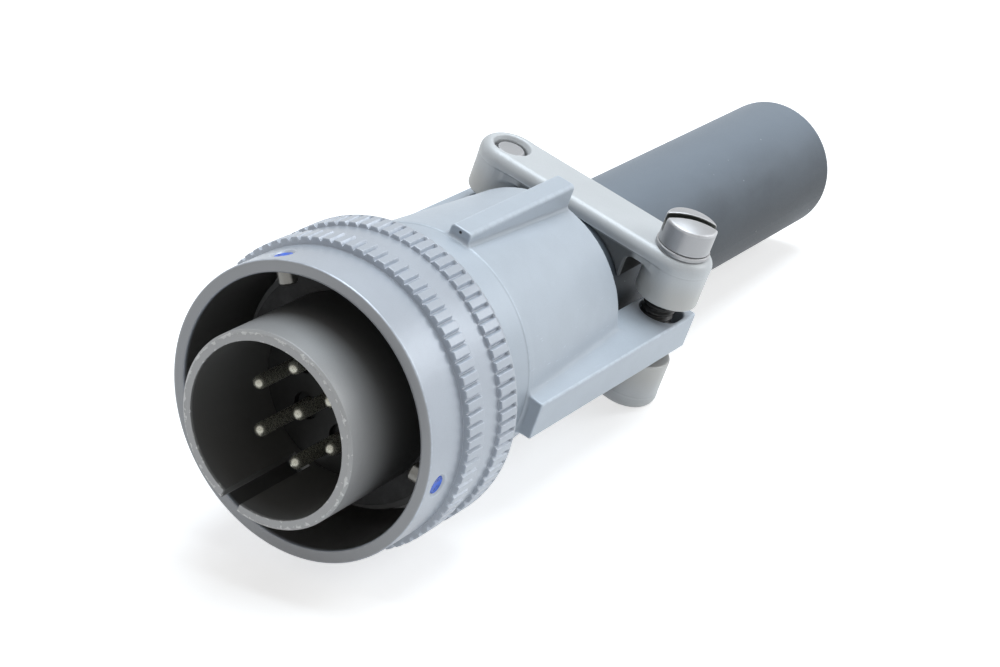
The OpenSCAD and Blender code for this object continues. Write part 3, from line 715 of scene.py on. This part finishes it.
def washer_axes():
    return [
        even_stations(clamp_x - WASHER_R, clamp_x + WASHER_R, WASHER_GRID),
        even_stations(clamp_y - WASHER_R, clamp_y + WASHER_R, WASHER_GRID),
        even_stations(saddle_top_z, washer_z, WASHER_FLAT_GRID),
    ]


def half_turn(points):
    """Points of the upper clamp half turned half round the bushing's axis, to the lower half."""
    x, y, z = points.T
    return np.stack([-x, y, 2 * bushing_z - z], 1)


def clamp_pair(kind, field, axes, bodies, replaced, slot):
    """One piece of the upper clamp half and, turned half round, its twin in the lower half."""
    points, faces, edge = surface(field, axes)
    upper = make_piece(f"{kind}_upper_skin", points, faces, edge, bodies[0], replaced[0], slot)
    lower = make_piece(f"{kind}_lower_skin", half_turn(points), faces, edge, bodies[1], replaced[1], slot)
    return [upper, lower]


# Materials: colours are linear, places and depths are millimetres in the plug's own frame

GRAIN_DEPTH = 0.15
LINE_DEPTH = 0.2
GRAIN_SPAN = (0.2, 0.8)
BEVEL_SAMPLES = 4
PIT_FADE = (0.24, 0.12)
SCRATCH_X = (8.0, 10.0)
SCRATCH_TOP_Z = (9.5, 7.0)
SCRATCH_FOOT_Z = (2.0, 3.5)


def rgba(color):
    return (*color, 1)


def shade(color, k):
    return tuple(min(1.0, c * k) for c in color)


class Mat:
    """A node material with one Principled shader, and short ways to add and link nodes."""

    def __init__(self, name, base, rough, metallic=0.0):
        self.rough = rough
        self.material = bpy.data.materials.new(name)
        self.material.use_nodes = True
        self.tree = self.material.node_tree
        self.tree.nodes.clear()
        out = self.node("ShaderNodeOutputMaterial")
        self.shader = self.node("ShaderNodeBsdfPrincipled")
        self.tree.links.new(self.shader.outputs[0], out.inputs[0])
        self.shader.inputs["Base Color"].default_value = rgba(base)
        self.shader.inputs["Roughness"].default_value = rough
        self.shader.inputs["Metallic"].default_value = metallic
        coord = self.node("ShaderNodeTexCoord")
        turn = self.node("ShaderNodeMapping")
        turn.inputs["Rotation"].default_value = LIE.transposed().to_euler()
        turn.inputs["Scale"].default_value = (1 / MM, 1 / MM, 1 / MM)
        self.tree.links.new(coord.outputs["Object"], turn.inputs["Vector"])
        self.place = turn.outputs[0]

    def node(self, kind, **settings):
        n = self.tree.nodes.new(kind)
        for key, value in settings.items():
            setattr(n, key, value)
        return n

    def put(self, socket, value):
        if isinstance(value, bpy.types.NodeSocket):
            self.tree.links.new(value, socket)
        else:
            socket.default_value = value

    def math(self, operation, a, b=0.0):
        n = self.node("ShaderNodeMath", operation=operation)
        self.put(n.inputs[0], a)
        self.put(n.inputs[1], b)
        return n.outputs[0]

    def times(self, *factors):
        product = factors[0]
        for f in factors[1:]:
            product = self.math("MULTIPLY", product, f)
        return product

    def off(self, value, middle):
        """Distance of a value from a middle, on either side."""
        return self.math("ABSOLUTE", self.math("SUBTRACT", value, middle))

    def hypot(self, a, b):
        return self.math("SQRT", self.math("ADD", self.times(a, a), self.times(b, b)))

    def own_axes(self):
        n = self.node("ShaderNodeSeparateXYZ")
        self.tree.links.new(self.place, n.inputs[0])
        return n.outputs

    def radius(self):
        x, _, z = self.own_axes()
        return self.hypot(x, z)

    def distance(self, place):
        n = self.node("ShaderNodeVectorMath", operation="DISTANCE")
        self.tree.links.new(self.place, n.inputs[0])
        n.inputs[1].default_value = place
        return n.outputs["Value"]

    def stretched(self, stretch):
        n = self.node("ShaderNodeVectorMath", operation="MULTIPLY")
        self.tree.links.new(self.place, n.inputs[0])
        n.inputs[1].default_value = stretch
        return n.outputs[0]

    def noise(self, scale, detail=3.0, rough=0.55, stretch=(1, 1, 1)):
        n = self.node("ShaderNodeTexNoise")
        self.put(n.inputs["Vector"], self.stretched(stretch))
        n.inputs["Scale"].default_value = scale
        n.inputs["Detail"].default_value = detail
        n.inputs["Roughness"].default_value = rough
        return n.outputs["Fac"]

    def turning(self):
        """Fine lines round the plug's axis, as a lathe leaves them."""
        return self.noise(1.0, 2.0, 0.6, (0.04, 10.0, 0.04))

    def ramp(self, value, low, high, a=0.0, b=1.0):
        n = self.node("ShaderNodeMapRange", interpolation_type="SMOOTHSTEP")
        self.put(n.inputs["Value"], value)
        for key, number in (("From Min", low), ("From Max", high), ("To Min", a), ("To Max", b)):
            n.inputs[key].default_value = number
        return n.outputs["Result"]

    def uneven(self, grain, less=0.05, more=0.07):
        """Roughness that swings with a grain, from a little less than the material's own to a little more."""
        return self.ramp(grain, *GRAIN_SPAN, self.rough - less, self.rough + more)

    def mix(self, factor, a, b):
        n = self.node("ShaderNodeMix", data_type="RGBA")
        self.put(n.inputs["Factor"], factor)
        colors = [s for s in n.inputs if s.type == "RGBA"]
        for socket, value in zip(colors, (a, b)):
            self.put(socket, value if isinstance(value, bpy.types.NodeSocket) else rgba(value))
        return [s for s in n.outputs if s.type == "RGBA"][0]

    def bevel(self, r):
        n = self.node("ShaderNodeBevel", samples=BEVEL_SAMPLES)
        n.inputs["Radius"].default_value = r * MM
        return n.outputs[0]

    def sharp_edges(self, r):
        """1 along sharp edges of a CAD node, 0 on open faces."""
        geometry = self.node("ShaderNodeNewGeometry")
        dot = self.node("ShaderNodeVectorMath", operation="DOT_PRODUCT")
        self.tree.links.new(self.bevel(r), dot.inputs[0])
        self.tree.links.new(geometry.outputs["Normal"], dot.inputs[1])
        return self.ramp(dot.outputs["Value"], 0.99, 0.88)

    def marked_edges(self):
        """The edge value of a scene piece: towards 1 on outer edges, towards -1 in corners."""
        return self.node("ShaderNodeAttribute", attribute_name="edge").outputs["Fac"]

    def bump(self, height, strength, depth, under=None):
        n = self.node("ShaderNodeBump")
        self.put(n.inputs["Height"], height)
        n.inputs["Strength"].default_value = strength
        n.inputs["Distance"].default_value = depth * MM
        if under is not None:
            self.put(n.inputs["Normal"], under)
        return n.outputs[0]

    def finish(self, color, rough=None, normal=None):
        for key, value in (("Base Color", color), ("Roughness", rough), ("Normal", normal)):
            if value is not None:
                self.put(self.shader.inputs[key], value)
        return self.material


def blasted(k, base):
    """Mottled tone with fine speckle: the colour and the speckle's height."""
    speckle = k.noise(9.0, 2.0, 0.6)
    color = k.mix(k.ramp(k.noise(0.25, 4.0, 0.6), 0.3, 0.7), shade(base, 0.98), shade(base, 1.02))
    return k.mix(k.ramp(speckle, 0.5, 0.8, 0.0, 0.5), color, shade(base, 0.86)), speckle


def plated(k, base, worn, corner_shade):
    """Matt plating of a scene piece: rubbed on its marked edges, darker in its corners as painted shade."""
    color, speckle = blasted(k, base)
    edge = k.marked_edges()
    # On the nut's grip blocks this rub also lightens whole walls, as painted highlight.
    rub = k.times(k.ramp(edge, 0.25, 0.9), k.ramp(k.noise(1.1, 3.0, 0.7), 0.3, 0.65, 0.25, 1.0))
    color = k.mix(k.times(rub, 0.7), color, worn)
    return k.mix(k.ramp(edge, -0.15, -0.8, 0.0, 0.8), color, corner_shade), speckle


def nut_finish():
    """Satin plated nut: turning lines on its bands, front face and bore darkened as painted shade, block
    walls lightened as painted highlight.
    """
    base = (0.465, 0.50, 0.555)
    front_face_shade = (0.32, 0.322, 0.33)
    bore_shade = (0.13, 0.128, 0.125)
    k = Mat("nut_satin_plating", base, 0.34, 0.25)
    # The worn colour also lightens the grip blocks' walls as painted highlight. The last colour darkens
    # corners and gap floors as painted shade.
    color, speckle = plated(k, base, shade(base, 1.45), shade(base, 0.6))
    _, y, _ = k.own_axes()
    # Painted shade on the front face and in the bore.
    on_face = k.ramp(y, nut_y + 0.07, nut_y + 0.02, 0.0, 0.85)
    color = k.mix(on_face, color, front_face_shade)
    inside = k.times(k.ramp(k.radius(), bore_r + 0.14, bore_r + 0.02), k.ramp(y, nut_y + 0.1, nut_y + 0.7))
    color = k.mix(inside, color, bore_shade)
    normal = k.bump(k.turning(), 0.03, LINE_DEPTH, k.bump(speckle, 0.06, GRAIN_DEPTH))
    return k.finish(color, k.uneven(speckle, 0.06, 0.06), normal)


def cast_finish():
    """Blasted and plated casting: a few scratches near the right wing, one casting pit on the rib."""
    base = (0.495, 0.545, 0.605)
    k = Mat("endbell_cast_plating", base, 0.44, 0.15)
    # The last colour darkens the corners as painted shade.
    color, speckle = plated(k, base, shade(base, 1.3), shade(base, 0.78))
    streaks = k.ramp(k.noise(1.0, 2.0, 0.5, (4.0, 0.22, 4.0)), 0.68, 0.74)
    x, _, z = k.own_axes()
    near_wing = k.times(k.ramp(x, *SCRATCH_X), k.ramp(z, *SCRATCH_TOP_Z), k.ramp(z, *SCRATCH_FOOT_Z))
    color = k.mix(k.times(streaks, near_wing, 0.6), color, shade(base, 1.45))
    pit = k.ramp(k.distance((ENDBELL_SIDE, rib_y, rib_z - 0.3)), *PIT_FADE)
    color = k.mix(pit, color, (0.03, 0.03, 0.03))
    normal = k.bump(pit, 0.6, -0.2, k.bump(speckle, 0.09, GRAIN_DEPTH))
    return k.finish(color, k.uneven(speckle), normal)


def clamp_finish():
    """Paler casting of the clamp saddles, with painted light: darker and warmer low down, pads and arch
    insides dark as painted shade, and a painted highlight along the bars' lower front edge.
    """
    base = (0.61, 0.63, 0.645)
    low_warm_shade = (0.55, 0.54, 0.515)
    k = Mat("saddle_cast_plating", base, 0.42, 0.15)
    # The last colour darkens the corners as painted shade.
    color, speckle = plated(k, base, shade(base, 1.15), shade(base, 0.72))
    x, y, z = k.own_axes()
    side = k.math("ABSOLUTE", x)
    level = k.off(z, bushing_z)
    depth = k.off(y, clamp_y)
    foot = bar_foot_z - bushing_z
    flank_x = clamp_x - post_r
    face_y = post_r - PAD_INSET
    # Painted shade: darker and warmer below the bars, towards the feet of the bosses.
    color = k.mix(k.ramp(level, foot, foot - 3.5, 0.0, 0.8), color, low_warm_shade)
    # Painted shade on the pads under the bars.
    inner = k.ramp(side, flank_x + 0.3, flank_x - 0.6)
    color = k.mix(k.times(k.ramp(level, foot, foot - 0.4), inner), color, shade(base, 0.3))
    # Painted highlight: a pale line along the bars' lower front edge.
    lip = k.times(k.ramp(level, foot + 0.02, foot + 0.08), k.ramp(level, foot + 0.3, foot + 0.2))
    lip = k.times(lip, k.ramp(depth, post_r - 0.4, post_r - 0.2), k.ramp(side, flank_x + 1.6, flank_x + 0.8))
    color = k.mix(k.times(lip, 0.8), color, shade(base, 1.35))
    # Painted shade inside the arches: near black, and made rough and without metal so that it reflects
    # little.
    in_arch = k.times(k.ramp(side, ARCH_X - 0.1, ARCH_X), k.ramp(side, flank_x + 0.8, flank_x + 0.2))
    low = k.ramp(level, foot - ARCH_WEB + 0.1, foot - ARCH_WEB)
    deep = k.ramp(depth, face_y - 0.3, face_y - 0.9)
    hollow_shade = k.times(in_arch, low, deep)
    color = k.mix(hollow_shade, color, (0.012, 0.012, 0.013))
    k.put(k.shader.inputs["Metallic"], k.ramp(hollow_shade, 0.0, 1.0, 0.15, 0.0))
    rough = k.math("MAXIMUM", k.uneven(speckle), hollow_shade)
    return k.finish(color, rough, k.bump(speckle, 0.09, GRAIN_DEPTH))


def screw_finish():
    """Satin screw steel: the slot, and the thread under the boss, darkened as painted shade."""
    base = (0.42, 0.42, 0.43)
    k = Mat("screw_steel", base, 0.38, 0.5)
    # The last colour darkens corners as painted shade.
    color, speckle = plated(k, base, shade(base, 1.5), shade(base, 0.25))
    x, y, z = k.own_axes()
    level = k.off(z, bushing_z)
    height = saddle_top_z - bushing_z
    # Painted shade on the thread below the boss.
    color = k.mix(k.ramp(level, height - 0.4, height - 1.2), color, (0.05, 0.05, 0.05))
    # Painted shade in the head's slot.
    angle = math.radians(SCREW_SLOT_ANGLE)
    u = k.times(k.math("SUBTRACT", k.math("ABSOLUTE", x), clamp_x), math.sin(angle))
    v = k.times(k.math("SUBTRACT", y, clamp_y), math.cos(angle))
    between = k.ramp(k.off(v, u), SCREW_SLOT_W / 2 + 0.06, SCREW_SLOT_W / 2)
    in_slot = k.times(between, k.ramp(level, height + 1.6, height + 1.9))
    color = k.mix(in_slot, color, (0.09, 0.095, 0.088))
    return k.finish(color, k.uneven(speckle), k.bump(speckle, 0.03, GRAIN_DEPTH))


def washer_finish():
    """Grey spring steel of the lock washers, rubbed a little on its edges."""
    base = (0.36, 0.36, 0.365)
    k = Mat("washer_steel", base, 0.36, 0.6)
    # The last colour darkens corners as painted shade.
    color, speckle = plated(k, base, shade(base, 1.4), shade(base, 0.4))
    return k.finish(color, k.uneven(speckle), k.bump(speckle, 0.03, GRAIN_DEPTH))


def turned(name, base, rough, metallic, edge_r, worn, lines=0.04):
    """Turned or pressed metal of a CAD node: fine turning lines, rounded edges rubbed bright."""
    k = Mat(name, base, rough, metallic)
    color, speckle = blasted(k, base)
    rub = k.times(k.sharp_edges(edge_r), k.ramp(k.noise(1.4, 3.0, 0.7), 0.35, 0.65))
    color = k.mix(k.times(rub, 0.6), color, worn)
    normal = k.bump(k.turning(), lines, LINE_DEPTH, k.bevel(edge_r))
    return k.finish(color, k.uneven(speckle), normal)


def shell_finish():
    """Grey plated shell: rim chipped to bare metal, darker inside and towards its back as painted shade."""
    base = (0.40, 0.40, 0.402)
    bare = (0.62, 0.62, 0.61)
    k = Mat("shell_dark_plating", base, 0.42, 0.3)
    color, speckle = blasted(k, base)
    _, y, _ = k.own_axes()
    # Painted shade towards the back, under the nut.
    color = k.mix(k.ramp(y, 2.5, nut_y + 4.0), color, shade(base, 0.3))
    r = k.radius()
    # Painted shade inside the barrel.
    inside = k.times(k.ramp(r, SHELL_R - 0.05, SHELL_R - 0.15), k.ramp(y, 0.12, 0.5))
    color = k.mix(inside, color, (0.17, 0.168, 0.165))
    to_inner = k.hypot(k.math("SUBTRACT", r, rim_in_r), y)
    to_outer = k.hypot(k.math("SUBTRACT", r, rim_out_r), y)
    to_edge = k.math("MINIMUM", to_outer, k.math("ADD", to_inner, 0.1))
    chip_size = k.ramp(k.noise(1.1, 4.0, 0.65), 0.46, 0.72, 0.0, 0.42)
    on_edge = k.ramp(k.math("SUBTRACT", to_edge, chip_size), 0.04, -0.04)
    flecks = k.times(k.ramp(k.noise(2.2, 2.0, 0.7), 0.69, 0.73), k.ramp(y, 1.2, 0.2))
    outside = k.ramp(inside, 0.6, 0.2)
    chipped = k.math("MAXIMUM", on_edge, k.times(flecks, outside))
    color = k.mix(chipped, color, bare)
    normal = k.bump(k.turning(), 0.06, LINE_DEPTH, k.bevel(0.12))
    normal = k.bump(chipped, 0.4, -0.06, normal)
    return k.finish(color, k.uneven(speckle, 0.06, 0.06), normal)


def rubber_finish():
    """Dark rubber tube: painted highlight on top, painted shade along its lower side, fine grain and a few
    specks of dust.
    """
    base = (0.125, 0.146, 0.172)
    k = Mat("bushing_rubber", base, 0.5)
    k.shader.inputs["Specular IOR Level"].default_value = 0.25
    grain = k.noise(7.0, 2.0, 0.6)
    cloud = k.noise(0.16, 4.0, 0.6, (1, 0.5, 1))
    color = k.mix(k.ramp(cloud, 0.3, 0.7), shade(base, 0.84), shade(base, 1.1))
    color = k.mix(k.ramp(grain, 0.5, 0.8, 0.0, 0.6), color, shade(base, 1.3))
    x, _, z = k.own_axes()
    upward = k.math("SUBTRACT", z, k.times(x, 0.55))
    # Painted light: a band along the lower side darkened as painted shade, and the top lightened as painted
    # highlight.
    flank_shade = k.times(k.ramp(upward, 6.0, -4.0, 0.0, 0.74), k.ramp(upward, -11.0, -6.0))
    color = k.mix(flank_shade, color, shade(base, 0.2))
    bloom = k.ramp(upward, 2.0, 10.0, 0.0, 0.7)
    color = k.mix(bloom, color, shade(base, 2.0))
    dust = k.node("ShaderNodeTexVoronoi", feature="F1")
    k.put(dust.inputs["Vector"], k.place)
    dust.inputs["Scale"].default_value = 0.7
    speck = k.times(k.ramp(dust.outputs["Distance"], 0.09, 0.05), k.ramp(k.noise(0.6, 2.0), 0.56, 0.62))
    color = k.mix(speck, color, (0.40, 0.43, 0.46))
    return k.finish(color, k.uneven(grain, 0.06, 0.06), k.bump(grain, 0.1, GRAIN_DEPTH, k.bevel(0.3)))


def black_finish(name, base, rough):
    """Moulded black insert or seal: fine moulding grain and a dusty bloom."""
    k = Mat(name, base, rough)
    grain = k.noise(6.0, 3.0, 0.6)
    color = k.mix(k.ramp(k.noise(0.5, 4.0, 0.6), 0.4, 0.75), base, shade(base, 1.9))
    normal = k.bump(grain, 0.12, GRAIN_DEPTH, k.bevel(0.1))
    return k.finish(color, k.uneven(grain, 0.06, 0.08), normal)


def paint_finish():
    """Glossy blue enamel with thicker and thinner places."""
    base = (0.02, 0.10, 0.60)
    k = Mat("index_enamel", base, 0.3)
    k.shader.inputs["Specular IOR Level"].default_value = 0.2
    swirl = k.noise(1.6, 2.0, 0.6)
    color = k.mix(k.ramp(swirl, 0.35, 0.7), shade(base, 0.8), (0.02, 0.15, 0.85))
    return k.finish(color, k.uneven(swirl, 0.06, 0.06), k.bump(swirl, 0.15, 0.2))


def dress(pieces, material):
    """Gives CAD nodes, by name, or scene pieces one material."""
    for piece in pieces:
        mesh = (nodes[piece] if isinstance(piece, str) else piece).data
        mesh.materials.clear()
        mesh.materials.append(material)


# Pieces and their materials

HALVES = ("upper_saddle", "lower_saddle")
TURNERS = ("right_screw", "left_screw")
SADDLES = ("clamp_saddle_top", "clamp_saddle_bottom")
SCREWS = ("clamp_screw_right", "clamp_screw_left")
WASHERS = ("lock_washer_right", "lock_washer_left")
DOTS = [f"index_dot_{i}" for i in range(1, DOT_COUNT + 1)]
CONTACTS = [f"contact_pin_{i}" for i in range(1, 8)]
BAYONETS = [f"bayonet_pin_{i}" for i in range(1, 4)]

nut = coupling_nut()
dots = [index_dot(i + 1, a) for i, a in enumerate(dot_angles())]
spring = wave_spring()
endbell = make_piece("endbell_skin", *surface(endbell_field, endbell_axes()),
                     "plug_body", "endbell", "cast_endbell")
saddles = clamp_pair("saddle", saddle_field, saddle_axes(), HALVES, SADDLES, "cast_saddle")
screws = clamp_pair("screw", screw_field, screw_axes(), TURNERS, SCREWS, "screw_steel")
washers = clamp_pair("washer", washer_field, washer_axes(), HALVES, WASHERS, "spring_steel")

spring_finish = turned("spring_steel", (0.42, 0.42, 0.43), 0.34, 0.8, 0.1, (0.7, 0.7, 0.7))
contact_finish = turned("contact_plating", (0.46, 0.45, 0.38), 0.25, 0.7, 0.06, (0.6, 0.59, 0.55), 0.02)
bayonet_finish = turned("bayonet_plating", (0.22, 0.215, 0.20), 0.34, 0.8, 0.08, (0.45, 0.45, 0.43), 0.02)
insert_finish = black_finish("insert_black", (0.012, 0.0125, 0.012), 0.5)
seal_finish = black_finish("seal_rubber", (0.04, 0.04, 0.041), 0.6)

dress([nut, "coupling_nut"], nut_finish())
dress([endbell, "endbell"], cast_finish())
dress([*saddles, *SADDLES], clamp_finish())
dress([*screws, *SCREWS], screw_finish())
dress([*washers, *WASHERS], washer_finish())
dress([*dots, *DOTS], paint_finish())
dress([spring, "wave_spring", "retaining_ring", "thrust_washer"], spring_finish)
dress(CONTACTS, contact_finish)
dress(BAYONETS, bayonet_finish)
dress(["plug_shell", "grommet_follower"], shell_finish())
dress(["front_insulator", "rear_insulator"], insert_finish)
dress(["wire_grommet", "flange_gasket"], seal_finish)
dress(["cable_bushing"], rubber_finish())

# Floor and background

FLOOR_GLOW = 0.63
FLOOR_SIZE = 4.0
FLOOR_GREY = (0.82, 0.82, 0.82)
AMBIENT = 0.25
AMBIENT_TINT = (1.0, 0.975, 0.945)
WHITE = (1.0, 1.0, 1.0)


def seen_directly(tree):
    """1 for rays from the camera and for their mirror and glass rays, 0 for light that falls on things."""
    path = tree.nodes.new("ShaderNodeLightPath")
    either = path.outputs["Is Camera Ray"]
    for key in ("Is Glossy Ray", "Is Transmission Ray"):
        n = tree.nodes.new("ShaderNodeMath")
        n.operation = "MAXIMUM"
        tree.links.new(either, n.inputs[0])
        tree.links.new(path.outputs[key], n.inputs[1])
        either = n.outputs[0]
    return either


def white_floor():
    half = FLOOR_SIZE / 2
    mesh = bpy.data.meshes.new("floor")
    level = cad_box[0][Z]
    corners = [(-half, -half, level), (half, -half, level), (half, half, level), (-half, half, level)]
    mesh.from_pydata(corners, [], [(0, 1, 2, 3)])
    floor = bpy.data.objects.new("floor", mesh)
    scene.collection.objects.link(floor)
    material = bpy.data.materials.new("floor_white")
    material.use_nodes = True
    tree = material.node_tree
    tree.nodes.clear()
    out = tree.nodes.new("ShaderNodeOutputMaterial")
    both_parts = tree.nodes.new("ShaderNodeAddShader")
    matt = tree.nodes.new("ShaderNodeBsdfDiffuse")
    matt.inputs[0].default_value = rgba(FLOOR_GREY)
    glow = tree.nodes.new("ShaderNodeEmission")
    glow_level = tree.nodes.new("ShaderNodeMath")
    glow_level.operation = "MULTIPLY"
    glow_level.inputs[1].default_value = FLOOR_GLOW
    tree.links.new(seen_directly(tree), glow_level.inputs[0])
    tree.links.new(glow_level.outputs[0], glow.inputs["Strength"])
    tree.links.new(matt.outputs[0], both_parts.inputs[0])
    tree.links.new(glow.outputs[0], both_parts.inputs[1])
    tree.links.new(both_parts.outputs[0], out.inputs[0])
    mesh.materials.append(material)


def white_world():
    studio = bpy.data.worlds.new("studio")
    scene.world = studio
    studio.use_nodes = True
    tree = studio.node_tree
    tree.nodes.clear()
    out = tree.nodes.new("ShaderNodeOutputWorld")
    choice = tree.nodes.new("ShaderNodeMixShader")
    soft = tree.nodes.new("ShaderNodeBackground")
    soft.inputs[0].default_value = rgba(AMBIENT_TINT)
    soft.inputs[1].default_value = AMBIENT
    white = tree.nodes.new("ShaderNodeBackground")
    white.inputs[0].default_value = rgba(WHITE)
    white.inputs[1].default_value = 1.0
    tree.links.new(seen_directly(tree), choice.inputs[0])
    tree.links.new(soft.outputs[0], choice.inputs[1])
    tree.links.new(white.outputs[0], choice.inputs[2])
    tree.links.new(choice.outputs[0], out.inputs[0])


white_floor()
white_world()

# Lamps: places are metres from the middle of the plug

MIDDLE_Y = 48.0
MIDDLE = row_place(0, MIDDLE_Y, 0)


def lamp(name, place, size, watts, color):
    data = bpy.data.lights.new(name, "AREA")
    data.shape = "DISK"
    data.size = size
    data.energy = watts
    data.color = color
    light = bpy.data.objects.new(name, data)
    scene.collection.objects.link(light)
    light.location = MIDDLE + Vector(place)
    light.rotation_euler = (MIDDLE - light.location).to_track_quat("-Z", "Y").to_euler()


lamp("soft_top", (0.04, 0.16, 0.72), 0.60, 4.4, (0.84, 0.93, 1.0))
lamp("key_right", (0.50, 0.42, 0.30), 0.40, 1.3, (0.95, 0.98, 1.0))

# Camera of the photograph in the plug's own frame: place, right, ahead and focal length in pixels

CAMERA_PLACE = (106.7, -194.45, 148.5)
CAMERA_RIGHT = (0.7886, 0.5366, 0.3002)
CAMERA_AHEAD = (-0.3487, 0.7924, -0.5005)
FOCAL_PX = 2565.4
PHOTO_W = 1000
SENSOR_W = 36.0
NEAREST = 0.01
FARTHEST = 20.0


def photo_camera():
    data = bpy.data.cameras.new("camera")
    data.sensor_fit = "HORIZONTAL"
    data.sensor_width = SENSOR_W
    data.lens = FOCAL_PX / PHOTO_W * SENSOR_W
    data.clip_start = NEAREST
    data.clip_end = FARTHEST
    camera = bpy.data.objects.new("camera", data)
    scene.collection.objects.link(camera)
    back = -(LIE @ Vector(CAMERA_AHEAD)).normalized()
    up = back.cross(LIE @ Vector(CAMERA_RIGHT)).normalized()
    pose = Matrix((up.cross(back), up, back)).transposed().to_4x4()
    pose.translation = row_place(*CAMERA_PLACE)
    camera.matrix_world = pose
    scene.camera = camera


photo_camera()
scene.view_settings.view_transform = "Standard"
